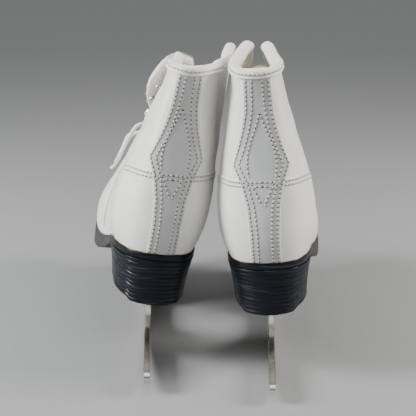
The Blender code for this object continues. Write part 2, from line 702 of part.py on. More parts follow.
def lace_route(skate):
    """The lace's held run: from the knot down one way, across the throat and up the other way."""
    way = [(1 if k % 2 == 0 else -1, k) for k in range(LACED)][::-1]
    visits = way + [(-side, k) for side, k in way[::-1]]
    knot = knot_place(skate)
    points = [knot + (visits[0][0] * (KNOT[0] + GAP), 0, -1)]
    for n, (side, k) in enumerate(visits):
        turn = LACE_TURN if n < LACED else -LACE_TURN
        station = EYELETS[k]
        edge_in, hole_in, hole, hole_out, edge_out = (
            throat_place(skate, side, station + offset, across, LACE_OUT)[0]
            for offset, across in ((-turn, 1.0), (-0.8 * turn, 0.94), (0, 0.905), (0.8 * turn, 0.94), (turn, 1.0)))
        if n:
            level = 1 if n < LACED else -1 if n > LACED else 0
            normal = throat_place(skate, side, station, 1.0, 0)[1] * (0, 1, 1)
            rise = 1.2 + level * (LACE_R + 0.35)
            points.append((points[-1] + edge_in) / 2 + normal / np.linalg.norm(normal) * rise)
        points += [edge_in, hole_in, hole, hole_out, edge_out]
    return points[:-1] + [knot + (visits[-1][0] * (KNOT[0] + GAP), 0, -1)]


def make_laces(skate, mats):
    """The criss-crossed lace, its knot, and the loops and ends of the bow."""
    tube("laces", smooth_path(lace_route(skate), 5.0), LACE_R, skate, mats["lace"])
    knot = knot_place(skate)
    bm = bmesh.new()
    bmesh.ops.create_icosphere(bm, subdivisions=1, radius=1)
    verts = [[c * size for c, size in zip(v.co, KNOT)] + knot for v in bm.verts]
    faces = [[v.index for v in f.verts] for f in bm.faces]
    bm.free()
    skate_part("lace_knot", verts, faces, mats["lace"], skate)
    for side, letter in ((1, "a"), (-1, "b")):
        for name, path in (("lace_loop_", LOOP), ("lace_end_", END)):
            points = [throat_place(skate, side, *place)[0] for place in path[1:]]
            if name == "lace_loop_":
                points[-1] = knot + np.array(path[-1]) * (side, 1, 1)
            points.insert(0, knot + np.array(path[0]) * (side, 1, 1))
            tube(name + letter, smooth_path(points, 4.0), LACE_R, skate, mats["lace"])


# ---------------------------------------------------------------- the pair


def make_materials():
    """One material for each kind of stuff, made afresh for every piece that asks."""
    return {
        "leather": material("white_leather", (0.80, 0.79, 0.76), 0.42),
        "binding": material("collar_fabric", (0.86, 0.85, 0.78), 0.8),
        "fabric": material("lining_fabric", (0.72, 0.68, 0.58), 0.9),
        "felt": material("tongue_felt", (0.75, 0.69, 0.56), 0.95),
        "fibreboard": material("fibreboard", (0.45, 0.33, 0.20), 0.8),
        "sole": material("sole_rubber", (0.08, 0.08, 0.08), 0.5),
        "heel": material("heel_rubber", (0.01, 0.012, 0.02), 0.3),
        "nickel": material("nickel_steel", (0.60, 0.59, 0.56), 0.2, 1.0),
        "lace": material("lace_cotton", (0.85, 0.83, 0.74), 0.9),
    }


def make_skate(name, spec, mats):
    """One skate, upright, under an empty that then stands it in its place."""
    empty = bpy.data.objects.new(name + "_skate", None)
    bpy.context.scene.collection.objects.link(empty)
    skate = dict(spec, name=name, empty=empty)
    grid = make_grid(spec["spread"])
    make_upper(skate, grid, mats)
    make_tongue(skate, grid, mats)
    sole, heel = make_sole(skate, grid, mats)
    make_blade(skate, sole, heel, mats)
    make_laces(skate, mats)
    x, y = spec["at"][0] - PAIR_CENTRE[0], spec["at"][1] - PAIR_CENTRE[1]
    turn = (Matrix.Rotation(math.radians(spec["yaw"]), 4, "Z")
            @ Matrix.Rotation(math.radians(spec["roll"]), 4, "Y"))
    lift = -min((turn @ v.co).z for v in skate["runner"].data.vertices)
    empty.matrix_world = Matrix.Translation(Vector((x * MM, y * MM, lift))) @ turn


def main():
    for obj in list(bpy.data.objects):
        bpy.data.objects.remove(obj)
    mats = make_materials()
    for name, spec in SKATES.items():
        make_skate(name, spec, mats)


main()
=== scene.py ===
import math
import random

import bmesh
import bpy
import numpy as np
from mathutils import Matrix, Vector


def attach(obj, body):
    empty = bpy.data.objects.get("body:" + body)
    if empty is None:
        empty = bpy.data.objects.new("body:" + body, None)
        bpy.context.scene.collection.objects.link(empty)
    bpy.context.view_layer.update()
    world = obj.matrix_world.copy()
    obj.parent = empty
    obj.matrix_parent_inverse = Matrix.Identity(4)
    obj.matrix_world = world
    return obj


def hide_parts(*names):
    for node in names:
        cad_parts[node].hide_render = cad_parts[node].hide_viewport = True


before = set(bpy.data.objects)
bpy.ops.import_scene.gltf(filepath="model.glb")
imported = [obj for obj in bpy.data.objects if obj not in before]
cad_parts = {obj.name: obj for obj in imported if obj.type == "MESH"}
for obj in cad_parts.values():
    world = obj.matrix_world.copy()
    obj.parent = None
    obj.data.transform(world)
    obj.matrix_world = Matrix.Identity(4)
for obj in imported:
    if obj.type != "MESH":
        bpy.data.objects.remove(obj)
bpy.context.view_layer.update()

MM = 0.001
rng = random.Random(7)

# ---- the part's own design, in millimetres

SKATES = {
    "left": {
        "mirror": -1, "at": (-39.6, 0.0), "yaw": 10.7, "roll": 8.5, "blade": (6.7, 6.2),
        "spread": ([(-1, 0), (-3, 0), (-8, -1), (-13, -5), (-11, -7), (-5, -4), (-2, 0), (0, 0)],
                   [(-1, 0), (-2, 1), (-9, 2), (-20, 2), (-30, 3), (-18, 0), (-8, 0), (-3, 0)]),
        "tongue_body": "skate",       # it hangs over the edge of its facing
        "tongue": [(-10, 1, 80, 139), (-15, -2, 83.4, 150), (-17, 8.5, 84, 161), (-17, 11.5, 80, 175),
                   (-18, 7, 76, 187), (-15, 1, 73, 195)],
        "held": 6.6,
    },
    "right": {
        "mirror": 1, "at": (39.0, -10.8), "yaw": -6.8, "roll": -3.6, "blade": (2.9, 1.6),
        "spread": ([(0, 0), (-1, 0), (-3.2, 0), (-5.4, 0), (-4.6, 0), (-2, 0), (0, 0), (0, 0)],
                   [(0, 0), (-1, 0), (-1.8, 1), (-1.8, 1), (-1.8, 1), (-1, 0), (0, 0), (0, 0)]),
        "tongue_body": "tongue",
        "tongue": [(-7, 4, 55, 190)],
        "held": 4.5,
    },
}
PAIR_CENTRE = (-2.34, 85.36)          # moved to the frame's origin
# rails of the upper by station: its feather line, two rows between, and its top edge
FEATHER = [(0, 1, 80.6), (16, 7, 80.3), (23.6, 24, 79.5), (24.3, 43, 77), (24.0, 60, 72), (25.3, 78, 65.8),
           (28.3, 97, 61.5), (29.8, 116, 60.6), (29.0, 138, 60.8), (25.0, 163, 61.6), (15.5, 187, 62.8),
           (0, 199.5, 63.6)]
LOW = [(0, -12, 108), (21, -3, 108), (37, 20, 109), (38, 44, 108), (36.5, 63, 103), (35, 80, 94),
       (35, 98, 87), (35, 116, 83), (34, 138, 81), (30, 164, 79.5), (20, 192, 79), (0, 207, 79)]
HIGH = [(0, 9, 150), (13.5, 8, 150), (18.5, 23, 150), (19, 46, 151), (17, 66, 152), (20, 78, 132),
        (22, 92, 118), (22, 108, 108), (18, 125, 104.5), (14, 138, 103), (10, 167, 94), (0, 191, 85)]
TOP = [(0, -5, 190), (9.5, 0.5, 190.3), (14.5, 22, 191.5), (13.5, 43, 195), (7.6, 61, 199), (8, 71, 166),
       (8.5, 84, 138), (8.5, 102, 121.5), (6.5, 119, 111), (0, 134, 103.5), (0, 163, 94.5), (0, 183, 85.5)]
LATERAL_BALL = 0.06                   # the ball of the foot is this much wider on the outer side
FOOT_BEND = 12.0
BEND_START = 80.0
SPREAD_LOW = 0.7
# heights and half widths of the backstay
BACKSTAY = [(80, 8.6), (100, 8.6), (115, 9.6), (127, 12), (139, 16), (150, 12.6), (160, 10), (170, 8.2),
            (190, 7)]
FELT_FACE = -6.2
FELT_THICK = 5.0
TONGUE_ARCH = 2.5
FIBRES = 9                            # loose fibres at each point of the tongue's edges
FIBRE_R = 0.05
# heights of the sole's underside by station
SOLE_UNDER = [76.3, 76, 75.2, 72.5, 66.5, 57, 50.5, 48.6, 48.6, 48.6, 49.6, 51.6]
WELT = 1.4
HEEL_FOOT_Z = 49.3
HEEL_TAPER = 0.87                     # width of the heel's foot over that of its top
HEEL_LIP = 1.8                        # the heel's back hangs this far over its plate
HEEL_WAIST = 0.63                     # and its sides are hollow by this much
BLACK_EDGE = 3.9                      # the sole's edge is blackened with the heel up to this station
FOLD_DEPTH = 0.22                     # of the soft folds in the leather at the ankle
BEAD_R = 0.62
BEVEL = 0.35                          # of the blade's long edges
AGLET = 9.0
SCREW_HEAD = [(0.01, -1.0), (0.9, -1.0), (1.0, -1.55), (2.3, -1.45), (3.0, -0.9), (3.3, -0.3), (3.3, 0.0)]
SCREW_RECESS = 1.0
BLADE_THICK = 4.0
BLADE_PIVOT_Y = 30.0
ROCKER = 1770.0
ROCKER_Y = 95.0
PLATE_THICK = 2.1
GAP = 0.3
SOLE_PLATE_TOP = 48.3
HEEL_PLATE_TOP = 49.0
SOLE_SCREWS = [(11, 106), (-11, 106), (11, 152), (-11, 152)]
HEEL_SCREWS = [(10.5, 24), (-10.5, 24)]
EYELETS = [7.9, 7.3, 6.75, 6.2, 5.7, 5.3]
HOOKS = [4.95, 4.62, 4.3]
LACE_OUT = 5.0
LACE_TURN = 0.16
LACED = 4                             # pairs of eyelets in use
LACE_R = 1.3
KNOT = (4.6, 3.8, 4.0)
# the first point of a loop or end, and a loop's last, stand off the knot; the rest are (station, v, out)
LOOP = [(4.5, 1.8, 2.6), (5.9, 0.97, 8.4), (5.9, 0.87, 7.6), (5.98, 0.78, 5.8), (6.16, 0.71, 4.6),
        (6.36, 0.68, 4.2), (6.58, 0.72, 4.4), (6.62, 0.79, 6.2), (6.52, 0.87, 8.2), (6.36, 0.96, 9.0),
        (4.2, 3.6, -0.8)]
END = [(2.2, 4.8, -3.6), (6.8, 1.0, 12.6), (6.98, 0.91, 11.4), (7.12, 0.82, 7.6), (7.18, 0.72, 5.0),
       (7.2, 0.65, 5.2)]


def smoothstep(t):
    t = np.clip(t, 0.0, 1.0)
    return t * t * (3 - 2 * t)


def catmull(a, b, c, d, t):
    return 0.5 * (2 * b + (c - a) * t + (2 * a - 5 * b + 4 * c - d) * t ** 2
                  + (3 * b - a - 3 * c + d) * t ** 3)


def rail(points, u):
    """The smooth curve through a row of stations, which goes on as its mirror image at both ends."""
    last = len(points) - 1
    p = np.array([points[1]] + points + [points[-2]], float)
    p[0, 0] *= -1
    p[-1, 0] *= -1
    i = np.clip(u.astype(int), 0, last - 1)
    t = (u - i)[..., None]
    return catmull(p[i], p[i + 1], p[i + 2], p[i + 3], t)


def upper(skate, s, v):
    """Points of the upper's face: s is the station, negative on the medial side, and v the height."""
    s, v = np.broadcast_arrays(np.asarray(s, float), np.asarray(v, float))
    u = np.abs(s)
    side = np.where(s >= 0, 1.0, -1.0)
    i = np.clip(u.astype(int), 0, 11)
    t = smoothstep(u - i)[..., None]
    pulls = [np.array(list(rows) + [(0, 0)] * 6, float) for rows in skate["spread"]]
    pull = np.where((side > 0)[..., None], pulls[0][i] * (1 - t) + pulls[0][i + 1] * t,
                    pulls[1][i] * (1 - t) + pulls[1][i + 1] * t)
    shift = np.stack([pull[..., 0] * side, 0 * v, pull[..., 1]], -1)
    f, low, high, top = (rail(row, u) for row in (FEATHER, LOW, HIGH, TOP))
    high = high + SPREAD_LOW * shift
    top = top + shift
    v = v[..., None]
    w = 1 - v
    p = w ** 3 * f + 3 * w * w * v * low + 3 * w * v * v * high + v ** 3 * top
    x, y, z = p[..., 0] * side, p[..., 1], p[..., 2]
    ball = 1 + LATERAL_BALL * smoothstep((y - 70) / 45) * smoothstep((215 - y) / 65)
    x = np.where(x > 0, x * ball, x)
    x = x - FOOT_BEND * np.clip((y - BEND_START) / (200 - BEND_START), 0, None) ** 1.5
    return np.stack([x, y, z], -1)


def normals(skate, s, v, h=0.012):
    s, v = np.broadcast_arrays(np.asarray(s, float), np.asarray(v, float))
    ds = upper(skate, np.minimum(s + h, 10.999), v) - upper(skate, np.maximum(s - h, -10.999), v)
    dv = upper(skate, s, np.minimum(v + h, 1)) - upper(skate, s, np.maximum(v - h, 0))
    n = np.cross(ds, dv)
    n[..., 2] *= smoothstep(v / 0.06)
    return n / (np.linalg.norm(n, axis=-1, keepdims=True) + 1e-9)


def face(skate, s, v, out=0.0):
    out = np.broadcast_to(np.asarray(out, float), np.broadcast(s, v).shape)[..., None]
    return upper(skate, s, v) + normals(skate, s, v) * out


PLAIN = {"spread": ([(0, 0)], [(0, 0)])}


def stay_edge(v):
    """The station where the backstay ends, for heights v."""
    v = np.asarray(v, float)
    low, high = np.zeros_like(v), np.full_like(v, 1.6)
    for _ in range(24):
        mid = (low + high) / 2
        p = upper(PLAIN, mid, v)
        half = np.interp(p[..., 2], [h for h, _ in BACKSTAY], [w for _, w in BACKSTAY])
        inside = p[..., 0] < half
        low, high = np.where(inside, mid, low), np.where(inside, high, mid)
    return mid


def on_stay(skate, side, v, share):
    """Stations at heights v on the backstay, share(half width in mm) of the way out to its edge."""
    edge = stay_edge(v)
    half = np.linalg.norm(upper(skate, side * edge, v) - upper(skate, 0 * v, v), axis=1)
    return side * edge * share(half)


def height_v(z):
    """The v at which the rib at the back reaches height z, before any spread."""
    v = np.linspace(0, 1, 200)
    return np.interp(z, upper(PLAIN, np.zeros(200), v)[:, 2], v)


# ---- materials


def nodes_of(name, color, roughness, metallic=0.0):
    mat = bpy.data.materials.new(name)
    mat.use_nodes = True
    tree = mat.node_tree
    shader = tree.nodes["Principled BSDF"]
    shader.inputs["Base Color"].default_value = (*color, 1)
    shader.inputs["Roughness"].default_value = roughness
    shader.inputs["Metallic"].default_value = metallic
    mat.diffuse_color = (*color, 1)
    coords = tree.nodes.new("ShaderNodeTexCoord")
    return mat, tree, shader, coords


def noise(tree, coords, scale, detail=4.0, rough=0.5, kind="NOISE", source="Object", stretch=None):
    """A noise or cell texture over object coordinates, in metres."""
    vector = coords.outputs[source]
    if stretch:
        mapping = tree.nodes.new("ShaderNodeMapping")
        mapping.inputs["Scale"].default_value = stretch
        tree.links.new(vector, mapping.inputs["Vector"])
        vector = mapping.outputs["Vector"]
    if kind == "NOISE":
        tex = tree.nodes.new("ShaderNodeTexNoise")
        tex.inputs["Detail"].default_value = detail
        tex.inputs["Roughness"].default_value = rough
        out = tex.outputs["Fac"]
    else:
        tex = tree.nodes.new("ShaderNodeTexVoronoi")
        tex.feature = kind
        out = tex.outputs["Distance"]
    tex.inputs["Scale"].default_value = scale
    tree.links.new(vector, tex.inputs["Vector"])
    return out


def ramp(tree, fac, low, high, c0, c1):
    """Maps fac between low and high to two colours or values."""
    node = tree.nodes.new("ShaderNodeValToRGB")
    node.color_ramp.elements[0].position = low
    node.color_ramp.elements[1].position = high
    as_color = (lambda c: (*c, 1) if isinstance(c, tuple) else (c, c, c, 1))
    node.color_ramp.elements[0].color = as_color(c0)
    node.color_ramp.elements[1].color = as_color(c1)
    tree.links.new(fac, node.inputs["Fac"])
    return node.outputs["Color"]


def bump(tree, shader, heights):
    """Chains bumps: (height socket, strength, distance in metres)."""
    last = None
    for socket, strength, distance in heights:
        node = tree.nodes.new("ShaderNodeBump")
        node.inputs["Strength"].default_value = strength
        node.inputs["Distance"].default_value = distance
        tree.links.new(socket, node.inputs["Height"])
        if last:
            tree.links.new(last, node.inputs["Normal"])
        last = node.outputs["Normal"]
    tree.links.new(last, shader.inputs["Normal"])


def mix_color(tree, fac, a, b):
    """Blends colour sockets or tuples a and b by a socket."""
    node = tree.nodes.new("ShaderNodeMix")
    node.data_type = "RGBA"
    for value, slot in ((a, 6), (b, 7)):
        if isinstance(value, tuple):
            node.inputs[slot].default_value = (*value, 1)
        else:
            tree.links.new(value, node.inputs[slot])
    tree.links.new(fac, node.inputs[0])
    return node.outputs[2]


def leather(name, color, shade, roughness=0.36):
    """Coated leather: fine pebble, faint mottling, a few scuffs."""
    mat, tree, shader, coords = nodes_of(name, color, roughness)
    mottle = noise(tree, coords, 60, 5)
    base = ramp(tree, mottle, 0.32, 0.68, shade, color)
    scuff = ramp(tree, noise(tree, coords, 210, 8, 0.7), 0.66, 0.74, 0.0, 0.5)
    base = mix_color(tree, scuff, base, tuple(c * 0.88 for c in shade))
    tree.links.new(base, shader.inputs["Base Color"])
    rough = ramp(tree, noise(tree, coords, 130, 6), 0.3, 0.7, roughness - 0.05, roughness + 0.12)
    tree.links.new(rough, shader.inputs["Roughness"])
    shader.inputs["Specular IOR Level"].default_value = 0.5
    shader.inputs["Coat Weight"].default_value = 0.12
    shader.inputs["Coat Roughness"].default_value = 0.25
    pebble = noise(tree, coords, 1500, kind="F1")
    fine = noise(tree, coords, 900, 3)
    crease = noise(tree, coords, 55, 4, stretch=(1, 1, 2.2))
    bump(tree, shader, [(crease, 0.12, 0.0012), (pebble, 0.10, 0.00025), (fine, 0.08, 0.0003)])
    return mat


def felt(name, color, shade, scale=700, ribs=False):
    """Felt or fleece: soft clumps and fibres."""
    mat, tree, shader, coords = nodes_of(name, color, 0.95)
    clump = noise(tree, coords, 160, 6, 0.65)
    base = ramp(tree, clump, 0.3, 0.7, shade, color)
    tree.links.new(base, shader.inputs["Base Color"])
    shader.inputs["Sheen Weight"].default_value = 0.35
    shader.inputs["Sheen Roughness"].default_value = 0.6
    heights = [(clump, 0.5, 0.0012), (noise(tree, coords, scale, 6, 0.7), 0.6, 0.0006)]
    if ribs:
        heights.append((noise(tree, coords, 260, 3, stretch=(0.25, 0.25, 1.6)), 0.45, 0.0009))
    bump(tree, shader, heights)
    return mat


def woven(name, color, shade, scale):
    """A woven band: two crossed waves over object space."""
    mat, tree, shader, coords = nodes_of(name, color, 0.85)
    waves = []
    for direction in ("X", "Z"):
        wave = tree.nodes.new("ShaderNodeTexWave")
        wave.bands_direction = direction
        wave.inputs["Scale"].default_value = scale
        wave.inputs["Distortion"].default_value = 1.2
        wave.inputs["Detail"].default_value = 2
        tree.links.new(coords.outputs["Object"], wave.inputs["Vector"])
        waves.append(wave.outputs["Fac"])
    both = tree.nodes.new("ShaderNodeMath")
    both.operation = "MULTIPLY"
    tree.links.new(waves[0], both.inputs[0])
    tree.links.new(waves[1], both.inputs[1])
    base = ramp(tree, both.outputs[0], 0.0, 0.8, shade, color)
    dirt = noise(tree, coords, 90, 5)
    base = mix_color(tree, ramp(tree, dirt, 0.55, 0.75, 0.0, 0.35), base, tuple(c * 0.8 for c in shade))
    tree.links.new(base, shader.inputs["Base Color"])
    shader.inputs["Sheen Weight"].default_value = 0.2
    bump(tree, shader, [(both.outputs[0], 0.35, 0.0003), (dirt, 0.1, 0.0005)])
    return mat


def rubber(name, color, shade, roughness, coat=0.0, gloss=0.5, scratch=None):
    mat, tree, shader, coords = nodes_of(name, color, roughness)
    spots = noise(tree, coords, 120, 6, 0.6)
    base = ramp(tree, spots, 0.35, 0.72, color, shade)
    if scratch:
        lines = ramp(tree, noise(tree, coords, 260, 4, 0.6, stretch=(0.06, 0.06, 4)), 0.60, 0.68, 0.0, 0.9)
        base = mix_color(tree, lines, base, scratch)
    tree.links.new(base, shader.inputs["Base Color"])
    shader.inputs["Specular IOR Level"].default_value = gloss
    rough = ramp(tree, noise(tree, coords, 260, 5), 0.3, 0.7, roughness - 0.1, roughness + 0.15)
    tree.links.new(rough, shader.inputs["Roughness"])
    shader.inputs["Coat Weight"].default_value = coat
    shader.inputs["Coat Roughness"].default_value = 0.12
    bump(tree, shader, [(noise(tree, coords, 800, 4), 0.15, 0.0003), (spots, 0.1, 0.0008)])
    return mat


def nickel(name):
    """Worn nickel plate: bright, with long streaks that are painted reflection in its colour and smears in
    its roughness, grinding lines and dull specks.
    """
    mat, tree, shader, coords = nodes_of(name, (0.70, 0.68, 0.64), 0.2, 1.0)
    smear_and_reflection = noise(tree, coords, 45, 5, 0.6, stretch=(1, 1, 2.5))
    specks = ramp(tree, noise(tree, coords, 420, 6, 0.7), 0.66, 0.74, 0.0, 0.8)
    # painted reflection: long dark and bright streaks in the base colour stand in for the surroundings
    # mirrored in the steel
    base = ramp(tree, smear_and_reflection, 0.35, 0.65, (0.60, 0.575, 0.54), (0.82, 0.80, 0.77))
    base = mix_color(tree, specks, base, (0.25, 0.22, 0.18))
    tree.links.new(base, shader.inputs["Base Color"])
    rough = ramp(tree, smear_and_reflection, 0.3, 0.75, 0.12, 0.34)
    tree.links.new(rough, shader.inputs["Roughness"])
    lines = noise(tree, coords, 300, 3, stretch=(1, 0.04, 6))
    bump(tree, shader, [(lines, 0.12, 0.0002), (specks, 0.2, 0.0001)])
    return mat


def plain(name, color, roughness, metallic=0.0, grain=500, vary=0.8):
    mat, tree, shader, coords = nodes_of(name, color, roughness, metallic)
    fac = noise(tree, coords, grain, 4)
    tree.links.new(ramp(tree, fac, 0.3, 0.7, tuple(c * vary for c in color), color),
                   shader.inputs["Base Color"])
    bump(tree, shader, [(fac, 0.15, 0.0003)])
    return mat


MATS = {
    "leather": leather("leather_white", (0.86, 0.845, 0.815), (0.80, 0.785, 0.75)),
    # painted shade: the backstay leather is given a grey colour that stands in for the shade on the
    # back-facing strip
    "stay": leather("leather_stay_painted_shade", (0.55, 0.56, 0.55), (0.49, 0.50, 0.49), 0.42),
    "raw": plain("leather_cut_edge", (0.84, 0.82, 0.77), 0.8),
    "binding": woven("collar_band", (0.90, 0.88, 0.80), (0.80, 0.77, 0.67), 420),
    "bead": woven("collar_bead", (0.94, 0.93, 0.90), (0.88, 0.86, 0.81), 700),
    "felt": felt("tongue_felt", (0.92, 0.89, 0.81), (0.82, 0.77, 0.66), 700, True),
    "fleece": felt("collar_fleece", (0.92, 0.89, 0.82), (0.80, 0.75, 0.66)),
    "hair": plain("felt_hair", (0.90, 0.86, 0.77), 0.9),
    "lining": felt("lining_felt", (0.74, 0.68, 0.57), (0.58, 0.51, 0.40)),
    "sole": rubber("sole_rubber", (0.03, 0.03, 0.031), (0.06, 0.06, 0.058), 0.5, gloss=0.3),
    "heel": rubber("heel_rubber", (0.002, 0.003, 0.006), (0.004, 0.006, 0.010), 0.36, coat=0.1, gloss=0.2,
                   scratch=(0.04, 0.052, 0.07)),
    "glue": plain("old_glue", (0.50, 0.38, 0.16), 0.6),
    "nickel": nickel("nickel_plate"),
    "lace": woven("lace_cotton", (0.92, 0.90, 0.84), (0.78, 0.75, 0.66), 900),
    "aglet": plain("aglet_plastic", (0.85, 0.85, 0.83), 0.25),
    "thread": plain("stitch_thread", (0.63, 0.61, 0.57), 0.8, grain=2500),
    # painted shade: flat dark discs at the stitch holes and eyelets stand in for the shadow inside them
    "hole": plain("stitch_hole", (0.08, 0.07, 0.06), 0.95),
    "board": plain("fibreboard", (0.40, 0.30, 0.19), 0.85),
}

# ---- making meshes


def placed(skate, points):
    """World points, in metres, from points of one skate in millimetres."""
    p = np.asarray(points, float).reshape(-1, 3) * (skate["mirror"], 1, 1) * MM
    return p @ skate["turn"].T + skate["origin"]


def build(name, skate, verts, faces, mats, body="skate", replaces=(), slot=None, closed=True, smooth=50,
          index=None):
    """A piece of one skate from millimetre vertices, riding on one of its bodies."""
    mesh = bpy.data.meshes.new(f"{skate['name']}_{name}")
    world = placed(skate, verts)
    if not closed and skate["mirror"] < 0:
        faces = [f[::-1] for f in faces]
    mesh.from_pydata([tuple(p) for p in world], [], [tuple(int(k) for k in f) for f in faces])
    for mat in (mats if isinstance(mats, (list, tuple)) else [mats]):
        mesh.materials.append(MATS[mat])
    if index is not None:
        mesh.polygons.foreach_set("material_index", index)
    if closed:
        bm = bmesh.new()
        bm.from_mesh(mesh)
        bmesh.ops.recalc_face_normals(bm, faces=bm.faces)
        bm.to_mesh(mesh)
        bm.free()
    mesh.shade_smooth()
    mesh.set_sharp_from_angle(angle=math.radians(smooth))
    obj = bpy.data.objects.new(f"{skate['name']}_{name}", mesh)
    bpy.context.scene.collection.objects.link(obj)
    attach(obj, f"{skate['name']}_{body}")
    if replaces:
        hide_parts(*[f"{skate['name']}_{node}" for node in replaces])
    return obj


def grid_faces(n, m, base=0, wrap_n=False, wrap_m=False):
    """Quads of an n by m grid of vertices stored row after row."""
    out = []
    for a in range(n if wrap_n else n - 1):
        for b in range(m if wrap_m else m - 1):
            a1, b1 = (a + 1) % n, (b + 1) % m
            out.append([base + a * m + b, base + a1 * m + b, base + a1 * m + b1, base + a * m + b1])
    return out


def capped_faces(n, m):
    """Faces of n closed rings of m vertices, with a cap on the first and the last."""
    return grid_faces(n, m, wrap_m=True) + [list(range(m))[::-1], list(range((n - 1) * m, n * m))]


def shell(name, skate, outer, inner, mats, **kw):
    """A closed shell between two grids of points of one shape."""
    n, m = outer.shape[:2]
    verts = np.concatenate([outer.reshape(-1, 3), inner.reshape(-1, 3)])
    faces = grid_faces(n, m) + grid_faces(n, m, n * m)
    rim = ([(a, 0) for a in range(n)] + [(n - 1, b) for b in range(1, m)]
           + [(a, m - 1) for a in range(n - 2, -1, -1)] + [(0, b) for b in range(m - 2, 0, -1)])
    ids = [a * m + b for a, b in rim]
    for k in range(len(ids)):
        p, q = ids[k], ids[(k + 1) % len(ids)]
        faces.append([p, q, q + n * m, p + n * m])
    return build(name, skate, verts, faces, mats, **kw)


def rounding(t, edge):
    """0 at both ends of t in 0..1 and 1 inside, round over the given share."""
    d = np.clip(np.minimum(t, 1 - t) / edge, 0, 1)
    return np.sqrt(1 - (1 - d) ** 2)


def sweep(points, radius, sides):
    """Vertices and faces of a round tube. radius is one number, or one for each point."""
    pts = np.asarray(points, float)
    n = len(pts)
    tangent = np.gradient(pts, axis=0)
    tangent /= np.linalg.norm(tangent, axis=1)[:, None] + 1e-12
    up = np.array((0, 0, 1.0)) if abs(tangent[0][2]) < 0.8 else np.array((1.0, 0, 0))
    a = np.cross(tangent[0], up)
    a /= np.linalg.norm(a)
    rows = []
    radius = np.broadcast_to(np.asarray(radius, float), (n,))
    for k in range(n):
        a = a - tangent[k] * (a @ tangent[k])
        a /= np.linalg.norm(a)
        b = np.cross(tangent[k], a)
        for m in range(sides):
            w = 2 * math.pi * m / sides
            rows.append(pts[k] + (a * math.cos(w) + b * math.sin(w)) * radius[k])
    return np.array(rows), capped_faces(n, sides)


def smooth_path(points, step):
    """Points about a step apart along a smooth curve through the given ones."""
    pts = [np.array(p, float) for p in points]
    out = []
    for i in range(len(pts) - 1):
        a = pts[i - 1] if i else 2 * pts[0] - pts[1]
        b, c = pts[i], pts[i + 1]
        d = pts[i + 2] if i + 2 < len(pts) else 2 * pts[-1] - pts[-2]
        count = max(1, round(np.linalg.norm(c - b) / step))
        out += [catmull(a, b, c, d, k / count) for k in range(count)]
    return np.array(out + [pts[-1]])


class Pile:
    """Many small shapes gathered into one mesh."""

    def __init__(self):
        self.verts, self.faces, self.count = [], [], 0

    def put(self, verts, faces):
        self.verts.append(np.asarray(verts, float))
        self.faces += [[k + self.count for k in f] for f in faces]
        self.count += len(verts)

    def build(self, name, skate, mats, **kw):
        return build(name, skate, np.concatenate(self.verts), self.faces, mats, **kw)


def unit_ball(rings, sides):
    verts = [(0, 0, 1)]
    for r in range(1, rings):
        a = math.pi * r / rings
        verts += [(math.sin(a) * math.cos(2 * math.pi * k / sides),
                   math.sin(a) * math.sin(2 * math.pi * k / sides), math.cos(a)) for k in range(sides)]
    verts.append((0, 0, -1))
    faces = [[0, 1 + k, 1 + (k + 1) % sides] for k in range(sides)]
    for r in range(rings - 2):
        for k in range(sides):
            a, b = 1 + r * sides + k, 1 + r * sides + (k + 1) % sides
            faces.append([a, a + sides, b + sides, b])
    base, tip = 1 + (rings - 2) * sides, len(verts) - 1
    faces += [[base + (k + 1) % sides, base + k, tip] for k in range(sides)]
    return np.array(verts), faces


BALL = unit_ball(5, 7)


def resample(points, extra, spacing):
    """Evenly spaced samples along a polyline and along rows of other values carried with it."""
    d = np.r_[0, np.cumsum(np.linalg.norm(np.diff(points, axis=0), axis=1))]
    count = max(2, int(round(d[-1] / spacing)) + 1)
    at = np.linspace(0, d[-1], count)
    take = (lambda rows: np.stack([np.interp(at, d, rows[:, k]) for k in range(rows.shape[1])], 1))
    return take(points), take(extra)


def sew(threads, hole_shades, p, up, reach, thread, hole):
    """A stitch between each two points p, facing up, with a flat dark disc at each point as painted shade in
    its hole. reach is its half length, thread its half width and half height; hole is a radius and a depth."""
    ball, faces = BALL
    for k in range(len(p) - 1):
        t = (p[k + 1] - p[k]) / np.linalg.norm(p[k + 1] - p[k])
        axes = np.array((t, np.cross(up[k], t), up[k]))
        threads.put((p[k] + p[k + 1]) / 2 + (ball * (reach[k], *thread)) @ axes, faces)
        # a flat dark disc at each stitch point: painted shade in the hole
        hole_shades.put(p[k] + (ball * (hole[0], hole[0], hole[1])) @ axes, faces)


def stitches(skate, threads, hole_shades, s, v, out, pitch=2.6, wide=0.62, hole=0.55):
    """A row of stitches along stations s and heights v, lying out from the face."""
    s, v = np.broadcast_arrays(np.asarray(s, float), np.asarray(v, float))
    p, n = resample(face(skate, s, v, out), normals(skate, s, v), pitch)
    up = n[:-1] + n[1:]
    up /= np.linalg.norm(up, axis=1)[:, None]
    lengths = np.linalg.norm(np.diff(p, axis=0), axis=1)
    reach = [0.42 * d * (1 + 0.12 * (rng.random() - 0.5)) for d in lengths]
    sew(threads, hole_shades, p, up, reach, (wide, 0.4), (hole, 0.14))


# ---- the upper


